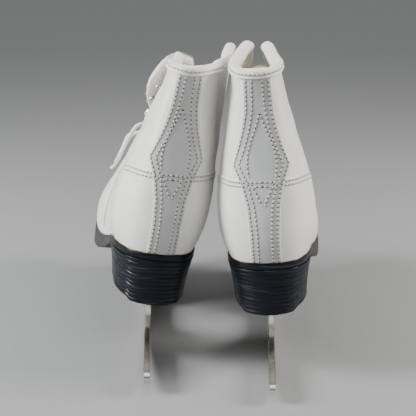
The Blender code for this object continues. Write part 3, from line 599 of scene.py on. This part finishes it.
def make_leather(skate):
    """The outer leather as one closed skin, with the vamp lapped over the quarters."""
    s = np.concatenate([-np.linspace(11, 0, 100), np.linspace(0, 11, 100)[1:]])
    v = np.r_[0, 0.012, 0.03, np.linspace(0.06, 0.94, 34), 0.965, 0.985, 1.0]
    ss, vv = np.meshgrid(s, v, indexing="ij")
    lap = 0.55 * smoothstep((np.abs(ss) - 7.52) / 0.06) * smoothstep((1.02 - vv) / 0.05)
    out = lap - 0.5 * (1 - smoothstep(vv / 0.02))
    # the leather is soft above the counter: long shallow folds at the ankle
    fold = np.sin(vv * 34 + 2.2 * np.sin(ss * 1.3) + skate["mirror"]) * smoothstep((vv - 0.42) / 0.15)
    fold = fold * smoothstep((0.92 - vv) / 0.2)
    fold = fold * smoothstep((np.abs(ss) - 1.5) / 0.8) * smoothstep((6 - np.abs(ss)))
    out = out + FOLD_DEPTH * fold
    shell("upper_leather", skate, face(skate, ss, vv, out), face(skate, ss, vv, -2.0), "leather",
          replaces=("vamp", "quarter_lateral", "quarter_medial"), slot="white_leather")


def make_backstay(skate):
    """The strip up the back, with its cut edges; its grey colour is painted shade."""
    v = np.linspace(0.004, 0.985, 90)
    t = np.r_[0, 0.012, 0.03, 0.06, np.linspace(0.1, 0.9, 15), 0.94, 0.97, 0.988, 1]
    edge = stay_edge(v)
    ss = (2 * t[None] - 1) * edge[:, None]
    vv = np.broadcast_to(v[:, None], ss.shape)
    out = 0.25 + 1.0 * rounding(t, 0.035)[None] * np.ones_like(ss)
    n, m = ss.shape
    outer, inner = face(skate, ss, vv, out), face(skate, ss, vv, 0.05)
    obj = shell("backstay_leather", skate, outer, inner, ["stay", "raw"], replaces=("backstay",),
                slot="white_leather")
    index = np.zeros(len(obj.data.polygons), int)
    for a in range(n - 1):
        for b in (0, 1, m - 3, m - 2):
            index[a * (m - 1) + b] = 1
    index[2 * (n - 1) * (m - 1):] = 1
    obj.data.polygons.foreach_set("material_index", index)


COUNTER_Z = 131.0                     # the counter seam: its height at the back, where it meets the sole,
COUNTER_S = 5.3
COUNTER_IN = 0.045                    # and how many stations a row of stitches below it moves in for each mm
COUNTER_ROWS = (1.4, 3.8)             # rows of stitches under the seam, and in from the backstay's edges
STAY_ROWS = (1.7, 4.7)
STAY_OUT = 1.3                        # the backstay's face stands out by this much
ARCH = ((168, 160, 153, 146, 139, 132), (0.3, 3.0, 5.5, 7.3, 7.9, 7.3))        # heights and half widths
NOTCH = ((128, 115.5), (6.0, 0.3))


def counter_line(s, drop=0.0):
    """Height v of the counter seam at stations s: level at the back, then round and down to the sole."""
    top = height_v(COUNTER_Z - drop)
    u = np.clip(np.abs(s) / (COUNTER_S - drop * COUNTER_IN), 0, 1)
    return top * (1 - u ** 2.6) ** (1 / 2.2)


def make_counter(skate):
    """The foxing: a second layer round the heel, under the backstay."""
    a = np.linspace(-1, 1, 121)
    s = COUNTER_S * np.sign(a) * np.abs(a) ** 0.8
    t = np.r_[0, np.linspace(0.05, 0.9, 18), 0.95, 0.98, 0.993, 1]
    line = counter_line(s)
    ss = np.broadcast_to(s[:, None], (len(s), len(t)))
    vv = 0.004 + np.maximum(line, 0.002)[:, None] * t[None]
    out = 0.02 + 0.5 * np.sqrt(np.clip(1 - np.clip((t - 0.97) / 0.03, 0, 1) ** 2, 0, 1))[None]
    out = out * np.ones_like(ss)
    shell("counter_leather", skate, face(skate, ss, vv, out), face(skate, ss, vv, -0.4), "leather",
          slot="white_leather")


def make_stitching(skate):
    """All the rows of stitches but the collar's."""
    threads, hole_shades = Pile(), Pile()
    v = np.linspace(0.012, 0.985, 170)
    for side in (-1, 1):
        for inset in STAY_ROWS:
            s = on_stay(skate, side, v, lambda half: np.clip(1 - inset / half, 0.05, 1))
            stitches(skate, threads, hole_shades, s, v, STAY_OUT)
    # the pointed arch over the ankle, and the V under the seam
    for side in (-1, 1):
        for heights, widths in ARCH, NOTCH:
            z = np.linspace(heights[0], heights[-1], 60)
            wide = np.interp(-z, [-h for h in heights], widths)
            s = on_stay(skate, side, height_v(z), lambda half: wide / half)
            stitches(skate, threads, hole_shades, s, height_v(z), STAY_OUT)
    for drop in COUNTER_ROWS:
        for side in (-1, 1):
            s = side * np.linspace(0.02, COUNTER_S - drop * COUNTER_IN - 0.03, 140)
            line = counter_line(s, drop)
            over = np.abs(s) < stay_edge(line)
            stitches(skate, threads, hole_shades, s, line, np.where(over, STAY_OUT, 0.56))
    # the facings' outer edges, and the vamp's lap
    for side in (-1, 1):
        for inset in (0.012, 0.034):
            s = side * np.linspace(4.05, 8.2, 120)
            stitches(skate, threads, hole_shades, s, 0.825 + inset, 1.55, 2.4, 0.4, 0.45)
        for inset in (0.08, 0.22):
            vv = np.linspace(0.02, 0.95, 90)
            stitches(skate, threads, hole_shades, side * (7.58 + inset), vv, 0.6, 2.4, 0.4, 0.45)
    threads.build("stitches", skate, "thread", slot="lace_cotton")
    hole_shades.build("stitch_hole_shades", skate, "hole", slot="fibreboard")


def edge_frame(skate, s):
    """Points of the top edge, outward normals and the directions up across it."""
    p = upper(skate, s, np.ones_like(s))
    n = normals(skate, s, np.full_like(s, 0.97))
    along = np.gradient(p, axis=0)
    up = np.cross(along, n)
    up *= np.sign(up[:, 2:]) / np.linalg.norm(up, axis=1)[:, None]
    return p, n, up


# the band's section, as (out, up) from the leather's top edge
COLLAR_SECTION = [(0.7, -1.2), (1.3, -1.3), (1.8, -0.7), (1.9, 0.6), (1.5, 1.9), (0.3, 2.8), (-1.6, 3.0),
                  (-3.4, 2.5), (-4.5, 1.3), (-4.9, -0.2), (-4.8, -2.0), (-4.3, -2.3), (-3.9, -0.8),
                  (-2.9, 0.2), (-1.4, 0.4), (0.4, 0.4)]
FLEECE_FROM = -2.0                    # the band is fleece from here inwards


def make_collar(skate):
    """The padded band over the top edge, its bead and the stitching over that."""
    end = 3.98
    s = np.linspace(-end, end, 150)
    p, n, up = edge_frame(skate, s)
    ring = smooth_path(COLLAR_SECTION + COLLAR_SECTION[:1], 0.9)[:-1]
    shrink = rounding((s + end) / (2 * end), 0.012) * 0.55 + 0.45
    mid = np.array((-1.6, 0.6))
    rows = []
    for k in range(len(s)):
        puff = 1 + 0.03 * math.sin(k * 0.55) + 0.02 * math.sin(k * 1.7)
        for a, b in ring:
            a, b = mid + (np.array((a, b)) - mid) * shrink[k] * (puff if b > 1 else 1)
            rows.append(p[k] + n[k] * a + up[k] * b)
    m = len(ring)
    faces = capped_faces(len(s), m)
    fleecy = [a < FLEECE_FROM for a, _ in ring]
    index = [int(k < (len(s) - 1) * m and fleecy[k % m]) for k in range(len(faces))]
    build("collar_band", skate, rows, faces, ["binding", "fleece"], replaces=("collar_binding",),
          slot="collar_fabric", index=index)
    bead = p + n * 1.45 - up * 1.25
    build("collar_bead", skate, *sweep(bead, BEAD_R, 10), "bead", slot="collar_fabric")
    threads, hole_shades = Pile(), Pile()
    row = p + n * 2.12 + up * 0.7
    row, up = resample(row, n, 2.5)
    sew(threads, hole_shades, row, up, [0.85] * len(row), (0.4, 0.3), (0.4, 0.12))
    threads.build("collar_stitches", skate, "thread", slot="lace_cotton")
    hole_shades.build("collar_hole_shades", skate, "hole", slot="fibreboard")


def make_lining(skate):
    """The brushed lining inside the boot."""
    s = np.linspace(-11, 11, 121)
    v = np.linspace(0.0, 1.0, 30)
    ss, vv = np.meshgrid(s, v, indexing="ij")
    near = 1.4 * smoothstep((vv - 0.84) / 0.1)        # it comes out to the leather under the collar
    shell("lining_felt", skate, face(skate, ss, vv, near - 3.8), face(skate, ss, vv, near - 5.2), "lining",
          replaces=("lining",), slot="lining_fabric")


def eyelet(place, axes):
    """A rolled ring at place, whose axes are up the boot, across and out."""
    ring = []
    for a in np.linspace(0, 2 * math.pi, 24, endpoint=False):
        for w in np.linspace(0, 2 * math.pi, 8, endpoint=False):
            r = 2.0 + 0.75 * math.cos(w)
            ring.append(place + np.array((r * math.cos(a), r * math.sin(a), 0.1 + 0.55 * math.sin(w))) @ axes)
    return ring, grid_faces(24, 8, wrap_n=True, wrap_m=True)


def hook(place, axes):
    """A bent lacing hook: its side profile, (up, out), drawn across its width with rounded flanks."""
    base = [(1.7, 0.05), (1.7, 0.5), (1.2, 1.6), (0.2, 2.6), (-1.4, 3.1), (-3.3, 3.2), (-3.5, 2.7),
            (-1.6, 2.4), (-0.2, 1.8), (0.2, 0.9), (-1.8, 0.6), (-2.0, 0.05)]
    rows = []
    for w in (-1.5, -1.2, 0, 1.2, 1.5):
        inset = 0.88 if abs(w) > 1.3 else 1.0
        rows += [place + np.array((a * inset, w, b * (inset if b > 1 else 1))) @ axes for a, b in base]
    return rows, capped_faces(5, len(base))


def make_facings(skate):
    """The eyestays, with rolled eyelets and bent lacing hooks."""
    for side, name in ((1, "lateral"), (-1, "medial")):
        s = side * np.linspace(4.0, 8.3, 90)
        t = np.r_[0, 0.02, 0.05, np.linspace(0.1, 0.9, 10), 0.95, 0.98, 1]
        ss, tt = np.meshgrid(s, t, indexing="ij")
        vv = 0.82 + 0.18 * tt
        along = rounding(np.linspace(0, 1, 90), 0.012)[:, None]
        out = 0.3 + 1.2 * np.minimum(rounding(tt, 0.05), along)
        shell(f"facing_{name}", skate, face(skate, ss, vv, out), face(skate, ss, vv, 0.05), "leather",
              replaces=(f"eyestay_{name}",), slot="white_leather")
        metal, eyelet_shade = Pile(), Pile()
        for k, station in enumerate(EYELETS + HOOKS):
            s0 = np.array([side * station])
            v0 = np.array([0.9])
            p = face(skate, s0, v0, 1.5)[0]
            n = normals(skate, s0, v0)[0]
            up = upper(skate, s0, v0)[0] - upper(skate, s0, v0 - 0.02)[0]
            up -= n * (up @ n)
            up /= np.linalg.norm(up)
            axes = np.array((up, np.cross(up, n), n))
            if k < len(EYELETS):
                metal.put(*eyelet(p, axes))
                # a flat dark disc in the eyelet's middle: painted shade of its hole
                ball, faces = BALL
                eyelet_shade.put(p + (ball * (1.4, 1.4, 0.12)) @ axes, faces)
            else:
                metal.put(*hook(p, axes))
        metal.build(f"eyelets_{name}", skate, "nickel", slot="nickel_steel")
        eyelet_shade.build(f"eyelet_holes_{name}", skate, "hole", slot="fibreboard")


def refine(rows, count, axis):
    """A grid of points made smoother along one axis."""
    rows = np.moveaxis(rows, axis, 0)
    out = []
    n = len(rows)
    for x in np.linspace(0, n - 1, count):
        i = min(int(x), n - 2)
        out.append(catmull(rows[max(i - 1, 0)], rows[i], rows[i + 1], rows[min(i + 2, n - 1)], x - i))
    return np.moveaxis(np.array(out), 0, axis)


def fibre(root, away):
    """One loose fibre: a thin bent spike from root, roughly along away."""
    away = away / (np.linalg.norm(away) + 1e-6)
    wild = np.array([rng.gauss(0, 1) for _ in range(3)])
    d = away + wild * 0.55
    d /= np.linalg.norm(d)
    length = 0.7 + 1.4 * rng.random() ** 2
    side = np.cross(d, wild)
    side *= FIBRE_R / (np.linalg.norm(side) + 1e-6)
    bend = np.cross(d, side) * 5 * rng.uniform(-1, 1)
    root = root - d * 0.25
    mid = root + d * length * 0.5 + bend
    third = np.cross(d, side)
    verts = [root + side, root - side, root + third, mid + side * 0.8, mid - side * 0.8, mid + third * 0.8,
             root + d * length + bend * 0.4]
    return verts, [[0, 1, 4, 3], [1, 2, 5, 4], [2, 0, 3, 5], [3, 4, 6], [4, 5, 6], [5, 3, 6], [0, 2, 1]]


def make_tongue(skate):
    """The felt tongue: held under the throat low down and free above, with a fringe of loose fibres."""
    sections = []
    for station in np.linspace(7.6, skate["held"], 10):
        spots = [(-station, v) for v in (0.82, 0.94, 1.0)] + [(station, v) for v in (1.0, 0.94, 0.82)]
        s = np.array([a for a, _ in spots])
        v = np.array([b for _, b in spots])
        outer = face(skate, s, v, FELT_FACE)
        inward = -normals(skate, s, v).sum(0) * (0, 1, 1)
        inward *= FELT_THICK / np.linalg.norm(inward)
        sections.append((outer, outer + inward))
    for medial, lateral, y, z in skate["tongue"]:
        t = np.array((0, 0.1, 0.35, 0.65, 0.9, 1))
        fall = TONGUE_ARCH * (2 * t - 1) ** 4
        outer = np.stack([medial + (lateral - medial) * t, y - fall, z - fall], 1)
        # the free felt swells a little on both faces
        sections.append((outer + (0, 0.9, 0.3), outer + (0, -FELT_THICK - 0.9, -1.3)))
    outer = np.array([a for a, _ in sections])
    inner = np.array([b for _, b in sections])

    outer, inner = (refine(refine(g, 44, 0), 22, 1) for g in (outer, inner))
    n, m = outer.shape[:2]
    t = np.linspace(0, 1, m)
    pinch = (0.5 - 0.5 * rounding(t, 0.16))[None, :, None]
    tip = (0.5 - 0.5 * rounding(np.linspace(0, 1, n), 0.06))[:, None, None]
    tip[: n // 2] = 0
    pinch = np.maximum(pinch, tip)
    a, b = outer + (inner - outer) * pinch, inner + (outer - inner) * pinch
    obj = shell("tongue_felt", skate, a, b, "felt", body=skate["tongue_body"], replaces=("tongue",),
                slot="tongue_felt")
    # loose fibres along the edges and the tip
    hairs = Pile()
    edge_rows = [(i, j) for i in range(n // 3, n) for j in (0, 1, m - 2, m - 1)]
    edge_rows += [(n - 1, j) for j in range(m)] * 3 + [(n - 2, j) for j in range(m)]
    for i, j in edge_rows:
        for _ in range(FIBRES):
            w = rng.random()
            root = a[i, j] * w + b[i, j] * (1 - w)
            middle = (a[i, m // 2] + b[i, m // 2]) / 2
            away = root - middle
            if i > n - 3:
                away = away * 0.3 + (a[i, j] - a[i - 2, j]) * 2
            hairs.put(*fibre(root, away))
    hairs.build("tongue_fibres", skate, "hair", body=skate["tongue_body"], slot="tongue_felt")


# ---- sole and heel


def feather(skate, count=160, out=0.0):
    """The feather line all round, moved outward in plan, from the toe round the medial side."""
    s = np.linspace(-11, 11, 2 * count + 1)[:-1]
    p = upper(skate, s, np.zeros_like(s))
    t = np.roll(p, -1, 0) - np.roll(p, 1, 0)
    n = np.stack([t[:, 1], -t[:, 0]], 1)
    n /= np.linalg.norm(n, axis=1)[:, None]
    q = p.copy()
    q[:, :2] += n * out
    return s, q


def loft(name, skate, rings, mats, **kw):
    """A solid from stacked rings of one length, closed by strips across from side to side."""
    m = len(rings[0])
    verts = np.concatenate(rings)
    faces = grid_faces(len(rings), m, wrap_m=True)
    for base, flip in ((0, 1), ((len(rings) - 1) * m, -1)):
        for k in range(m // 2 - 1):
            quad = [base + k, base + k + 1, base + (m - 2 - k) % m, base + (m - 1 - k) % m]
            faces.append(quad[::flip])
    return build(name, skate, verts, faces, mats, **kw)


def make_sole(skate):
    """The sole, with the line of glue over its edge at the heel."""
    count = 120
    s, _ = feather(skate, count)
    under = np.interp(np.abs(s), range(12), SOLE_UNDER)
    rings = []
    for out, w in ((WELT - 0.7, 0.0), (WELT - 0.15, 0.03), (WELT, 0.12), (WELT, 0.5), (WELT - 0.1, 0.85),
                   (WELT - 0.4, 0.96), (WELT - 1.0, 1.0)):
        _, q = feather(skate, count, out)
        top = q[:, 2] - GAP
        q[:, 2] = top + (under - top) * w
        rings.append(q)
    obj = loft("sole", skate, rings, ["sole", "heel"], replaces=("outsole",), slot="sole_rubber")
    ring = len(s)
    obj.data.polygons.foreach_set("material_index", [
        1 if k < (len(rings) - 1) * ring and abs(s[k % ring]) < BLACK_EDGE else 0
        for k in range(len(obj.data.polygons))])
    # a line of old glue squeezed out over the sole's edge at the heel
    keep = np.abs(s) < BLACK_EDGE
    _, q = feather(skate, count, 0.45)
    line = q[keep] + (0, 0, 0.05)
    wobble = np.array([0.12 * math.sin(k * 0.9) + 0.1 * math.sin(k * 2.3 + 1) for k in range(len(line))])
    line[:, 2] += wobble
    build("glue_line", skate, *sweep(line, 0.34, 6), "glue", slot="fibreboard")


def make_heel(skate):
    """The heel: a stack of lifts whose joints show as grooves, hanging a little over its plate behind."""
    end = 3.62
    hs = np.linspace(-end, end, 90)
    _, base = feather(skate, 400, WELT)
    fs = np.linspace(-11, 11, 801)[:-1]
    top = np.stack([np.interp(hs, fs, base[:, k]) for k in range(3)], 1)
    top[:, 2] = np.interp(np.abs(hs), range(12), SOLE_UNDER) - GAP
    foot = top.copy()
    foot[:, 0] *= HEEL_TAPER
    foot[:, 1] += 0.9 * (1 - top[:, 1] / 50)
    foot[:, 2] = HEEL_FOOT_Z - HEEL_LIP * smoothstep((10 - foot[:, 1]) / 4)
    middle = np.array((0, 28.0, 0))
    grooves = 10
    pitch = 1 / (grooves + 1)
    rings = []
    levels = [0.0, 0.012]
    for g in range(1, grooves + 1):
        c = g * pitch
        levels += [c - 0.016, c - 0.006, c + 0.006, c + 0.016]
        if g < grooves:
            levels.append(c + 0.5 * pitch)
    levels += [0.975, 0.992, 1.0]
    for w in levels:
        ring = top + (foot - top) * w
        inset = HEEL_WAIST * math.sin(math.pi * w) ** 0.8
        for g in range(1, grooves + 1):
            if abs(w - g * pitch) < 0.01:
                inset += 0.26 + 0.08 * math.sin(g * 2.1)
        if w in (0.0, 1.0):
            inset += 0.4
        d = (ring - middle)[:, :2]
        length = np.linalg.norm(d, axis=1)[:, None]
        ring[:, :2] -= d / length * inset
        rings.append(ring)
    loft("heel", skate, rings, "heel", replaces=("heel_block",), slot="heel_rubber", smooth=60)


# ---- blade


def toe_in(skate, x, y):
    """Turns places of the blade's own frame in towards the other foot."""
    a = math.radians(skate["blade"][0])
    dy = y - BLADE_PIVOT_Y
    return x * math.cos(a) - dy * math.sin(a), BLADE_PIVOT_Y + x * math.sin(a) + dy * math.cos(a)


def lean(skate, points):
    """Cants and turns points of the blade's own frame as the part does."""
    cant, pivot = math.radians(skate["blade"][1]), SOLE_PLATE_TOP - PLATE_THICK - GAP
    p = np.asarray(points, float)
    x, z = p[:, 0].copy(), p[:, 2].copy()
    q = p.copy()
    q[:, 0] = x * math.cos(cant) + (z - pivot) * math.sin(cant)
    q[:, 2] = pivot - x * math.sin(cant) + (z - pivot) * math.cos(cant)
    x, y = toe_in(skate, q[:, 0], q[:, 1])
    return np.stack([x, y, q[:, 2]], 1)


def runner_outline():
    """The runner's side view, (y, z): its rocker, toe picks, nose, arch and tail."""
    top_front = SOLE_PLATE_TOP - PLATE_THICK - GAP
    top_heel = HEEL_PLATE_TOP - PLATE_THICK - GAP
    rock = (lambda y: (y, (y - ROCKER_Y) ** 2 / (2 * ROCKER)))
    bottom = [rock(y) for y in np.linspace(-14, 170, 50)]
    picks = []
    for k in range(5):
        y, z = 174 + 5.6 * k, 0.9 + 1.55 * k ** 1.8
        picks += [(y, z), (y + 0.8, z + 4.2 + 0.3 * k)]
    nose = smooth_path([(200.2, 27, 0), (199.5, 33, 0), (195, 38, 0), (186, 41.5, 0),
                        (176, top_front, 0)], 1.5)
    arch = smooth_path([(98, top_front, 0), (101.4, 40.4, 0), (106.5, 36, 0), (108, 31, 0), (107.4, 27.6, 0),
                        (110, 17, 0), (104, 14, 0), (84, 13.4, 0), (72, 14.4, 0), (60, 22, 0), (50, 36, 0),
                        (46, top_heel, 0)], 1.5)
    tail = smooth_path([(4, top_heel, 0), (9, 37, 0), (18, 26, 0), (29, 18, 0), (40, 14, 0), (24, 13.2, 0),
                        (-15, 13.0, 0), (-18.8, 12.3, 0), (-20.5, 9.4, 0), (-19.8, 6.0, 0),
                        (-17, 4.2, 0)], 1.5)
    rounded = [tuple(p[:2]) for part in (nose, arch, tail) for p in part]
    return bottom + picks + rounded


def screw_head(x, y, seat):
    """A round head hanging under a plate, with a cross-shaped recess."""
    sides = 24
    rows = []
    for r, z in SCREW_HEAD:
        for w in np.linspace(0, 2 * math.pi, sides, endpoint=False):
            cross = 0.55 + 0.75 * abs(math.cos(2 * w)) ** 3 if r <= SCREW_RECESS else 1.0
            rows.append((x + r * cross * math.cos(w), y + r * cross * math.sin(w), seat + z))
    return rows, capped_faces(len(SCREW_HEAD), sides)


def make_blade(skate):
    """The runner, with its long edges bevelled."""
    pts = np.array(runner_outline())
    m = len(pts)
    nxt, prv = np.roll(pts, -1, 0), np.roll(pts, 1, 0)
    t = nxt - prv
    t /= np.linalg.norm(t, axis=1)[:, None] + 1e-9
    inward = np.stack([-t[:, 1], t[:, 0]], 1)
    half = BLADE_THICK / 2
    rings = []
    for x, inset in ((-half, BEVEL), (-half + BEVEL, 0.0), (half - BEVEL, 0.0), (half, BEVEL)):
        q = pts + inward * inset
        rings.append(np.stack([np.full(m, x), q[:, 0], q[:, 1]], 1))
    verts = lean(skate, np.concatenate(rings))
    build("runner_steel", skate, verts, capped_faces(4, m), "nickel", replaces=("runner",),
          slot="nickel_steel", smooth=30)


def plate_ring(y0, y1, w0, w1, corner):
    """The outline of a plate from y0 to y1, of half widths w0 and w1 there, with round corners."""
    ring = []
    for cx, cy, start in ((w1 - corner, y1 - corner, 0), (-(w1 - corner), y1 - corner, 90),
                          (-(w0 - corner), y0 + corner, 180), (w0 - corner, y0 + corner, 270)):
        for a in np.radians(start + np.linspace(0, 90, 12)):
            ring.append((cx + corner * math.cos(a), cy + corner * math.sin(a)))
    return np.array(ring)


def make_plates(skate):
    """The two mounting plates and their screws."""
    plates = (("sole_plate", plate_ring(94, 170, 16, 17.5, 7), SOLE_PLATE_TOP, SOLE_SCREWS),
              ("heel_plate", plate_ring(8, 46, 16.5, 16.5, 13), HEEL_PLATE_TOP, HEEL_SCREWS))
    for name, ring, top, screws in plates:
        mid = ring.mean(0)
        rings = []
        under = top - PLATE_THICK
        for inset, z in ((0.5, top), (0.05, top - 0.35), (0, under + 0.5), (0.6, under)):
            d = ring - mid
            q = ring - d / np.linalg.norm(d, axis=1)[:, None] * inset
            x, y = toe_in(skate, q[:, 0], q[:, 1])
            rings.append(np.stack([x, y, np.full(len(x), z)], 1))
        m = len(ring)
        faces = grid_faces(4, m, wrap_m=True) + [list(range(m)), list(range(3 * m, 4 * m))[::-1]]
        build(name + "_steel", skate, np.concatenate(rings), faces, "nickel", replaces=(name,),
              slot="nickel_steel", smooth=40)
        pile = Pile()
        for x, y in (toe_in(skate, *place) for place in screws):
            pile.put(*screw_head(x, y, under))
        names = [f"{name}_screw_{k + 1}" for k in range(len(screws))]
        pile.build(name + "_screws", skate, "nickel", replaces=names, slot="nickel_steel")


# ---- laces


def throat_place(skate, side, station, across, out):
    """A point out from the face beside the throat, and the normal there."""
    step = 0.02
    at = (lambda s, v: upper(skate, np.array([s]), np.array([v]))[0])
    p = at(side * station, across)
    du = at(side * (station + step), across) - p
    dv = p - at(side * station, across - step)
    n = np.cross(du, dv) * side
    n /= np.linalg.norm(n)
    return p + n * out, n


def knot_place(skate):
    """The middle of the knot, over the throat just above the last laced eyelets."""
    station = EYELETS[LACED - 1] - 0.2
    ends = [throat_place(skate, side, station, 1.0, LACE_OUT) for side in (-1, 1)]
    lift = (ends[0][1] + ends[1][1]) * (0, 1, 1)
    return (ends[0][0] + ends[1][0]) / 2 + lift / np.linalg.norm(lift) * 2.0


def lace_route(skate):
    """The lace's held run: from the knot down one way, across the throat and up the other way."""
    way = [(1 if k % 2 == 0 else -1, k) for k in range(LACED)][::-1]
    visits = way + [(-side, k) for side, k in way[::-1]]
    knot = knot_place(skate)
    points = [knot + (visits[0][0] * (KNOT[0] - 1.5), 0, -1)]
    for n, (side, k) in enumerate(visits):
        turn = LACE_TURN if n < LACED else -LACE_TURN
        station = EYELETS[k]
        edge_in, hole_in, hole, hole_out, edge_out = (
            throat_place(skate, side, station + offset, across, LACE_OUT - 1.6)[0]
            for offset, across in ((-turn, 1.0), (-0.8 * turn, 0.94), (0, 0.905), (0.8 * turn, 0.94),
                                   (turn, 1.0)))
        if n:
            level = 1 if n < LACED else -1 if n > LACED else 0
            normal = throat_place(skate, side, station, 1.0, 0)[1] * (0, 1, 1)
            rise = 1.2 + level * (LACE_R + 0.35)
            points.append((points[-1] + edge_in) / 2 + normal / np.linalg.norm(normal) * rise)
        points += [edge_in, hole_in, hole, hole_out, edge_out]
    return points[:-1] + [knot + (visits[-1][0] * (KNOT[0] - 1.5), 0, -1)]


def make_laces(skate):
    """The held run, the knot, and the free cords of the bow."""
    build("lace_run", skate, *sweep(smooth_path(lace_route(skate), 1.2), LACE_R, 10), "lace",
          replaces=("laces",), slot="lace_cotton")
    knot = knot_place(skate)
    # the knot: a band wrapped round the crossing of the bow
    pile = Pile()
    band = [knot + (1.61 * math.sin(a) + 0.5 * math.cos(2 * a), 3.0 * math.cos(a), 3.2 * math.sin(a) - 0.2)
            for a in np.linspace(0, 2 * math.pi, 40)]
    pile.put(*sweep(band, 1.5, 10))
    for sx in (-1, 1):
        way = [(-3.4, -1.2, 1.6), (-1.2, 0.6, 0.6), (1.2, 0.8, -0.6), (3.4, -1.0, -1.6)]
        lump = smooth_path([knot + (x * sx, y, z) for x, y, z in way], 0.5)
        pile.put(*sweep(lump, 1.55, 10))
    pile.build("bow_knot", skate, "lace", replaces=("lace_knot",), slot="lace_cotton")
    for side, letter in ((1, "a"), (-1, "b")):
        for name, path in (("loop", LOOP), ("end", END)):
            points = [throat_place(skate, side, *place)[0] for place in path[1:]]
            if name == "loop":
                points[-1] = knot + np.array(path[-1]) * (side, 1, 1)
            points.insert(0, knot + np.array(path[0]) * (side, 1, 1))
            route = smooth_path(points, 0.8)
            d = np.r_[0, np.cumsum(np.linalg.norm(np.diff(route, axis=0), axis=1))]
            tip = (d > d[-1] - AGLET) & (name == "end")
            radius = np.where(tip, LACE_R * 0.82, LACE_R)
            verts, faces = sweep(route, radius, 10)
            index = [1 if k < (len(route) - 1) * 10 and tip[k // 10] else 0 for k in range(len(faces))]
            obj = build(f"bow_{name}_{letter}", skate, verts, faces, ["lace", "aglet"],
                        replaces=(f"lace_{name}_{letter}",), slot="lace_cotton", index=index)


# ---- camera, floor and light

camera = bpy.data.cameras.new("camera")
camera.lens = 67.15
camera.sensor_width = 36
camera.clip_start = 0.01
cam = bpy.data.objects.new("camera", camera)
cam.location = (-PAIR_CENTRE[0] * MM, (-435 - PAIR_CENTRE[1]) * MM, 0.2353)
cam.rotation_euler = (math.radians(74.1), 0, 0)
bpy.context.scene.collection.objects.link(cam)
bpy.context.scene.camera = cam

for side_name, spec in SKATES.items():
    spec["name"] = side_name
    yaw = Matrix.Rotation(math.radians(spec["yaw"]), 3, "Z")
    spec["turn"] = np.array(yaw @ Matrix.Rotation(math.radians(spec["roll"]), 3, "Y"))
    spec["origin"] = np.zeros(3)
    blade = np.array([(x, y, z) for x in (-BLADE_THICK / 2, BLADE_THICK / 2) for y, z in runner_outline()])
    low = placed(spec, lean(spec, blade))[:, 2].min()
    x, y = (place - middle for place, middle in zip(spec["at"], PAIR_CENTRE))
    spec["origin"] = np.array((x * MM, y * MM, -low))
    make_laces(spec)
    make_leather(spec)
    make_counter(spec)
    make_backstay(spec)
    make_collar(spec)
    make_lining(spec)
    make_facings(spec)
    make_tongue(spec)
    make_sole(spec)
    make_heel(spec)
    make_blade(spec)
    make_plates(spec)
    make_stitching(spec)
    for node, mat in (("insole_board", "board"), ("insole", "lining"), ("heel_counter", "board")):
        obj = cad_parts[f"{side_name}_{node}"]
        obj.data.materials.clear()
        obj.data.materials.append(MATS[mat])

floor_mat = plain("studio_floor", (0.28, 0.283, 0.28), 0.8, grain=260, vary=0.95)
floor_mesh = bpy.data.meshes.new("floor")
floor_mesh.from_pydata([(-60, -60, 0), (60, -60, 0), (60, 60, 0), (-60, 60, 0)], [], [[0, 1, 2, 3]])
floor_mesh.materials.append(floor_mat)
floor = bpy.data.objects.new("floor", floor_mesh)
bpy.context.scene.collection.objects.link(floor)


def lamp(name, place, target, size, power, color=(1, 1, 1)):
    light = bpy.data.lights.new(name, "AREA")
    light.shape = "RECTANGLE"
    light.size, light.size_y = size
    light.energy = power
    light.color = color
    obj = bpy.data.objects.new(name, light)
    obj.location = place
    direction = Vector(target) - Vector(place)
    obj.rotation_euler = direction.to_track_quat("-Z", "Y").to_euler()
    bpy.context.scene.collection.objects.link(obj)


sun = bpy.data.lights.new("top_light", "SUN")
sun.energy = 1.5
sun.angle = math.radians(70)
sun_object = bpy.data.objects.new("top_light", sun)
sun_object.rotation_euler = (math.radians(25), 0, 0)
bpy.context.scene.collection.objects.link(sun_object)
lamp("left_light", (-0.9, -0.25, 0.6), (0, 0, 0.12), (0.35, 0.4), 21, (0.97, 0.99, 1))
lamp("right_light", (0.9, -0.1, 0.6), (0, 0, 0.12), (0.35, 0.4), 13, (1, 0.98, 0.95))
world = bpy.data.worlds.new("studio")
world.use_nodes = True
world.node_tree.nodes["Background"].inputs["Color"].default_value = (0.9, 0.92, 0.95, 1)
world.node_tree.nodes["Background"].inputs["Strength"].default_value = 0.2
bpy.context.scene.world = world
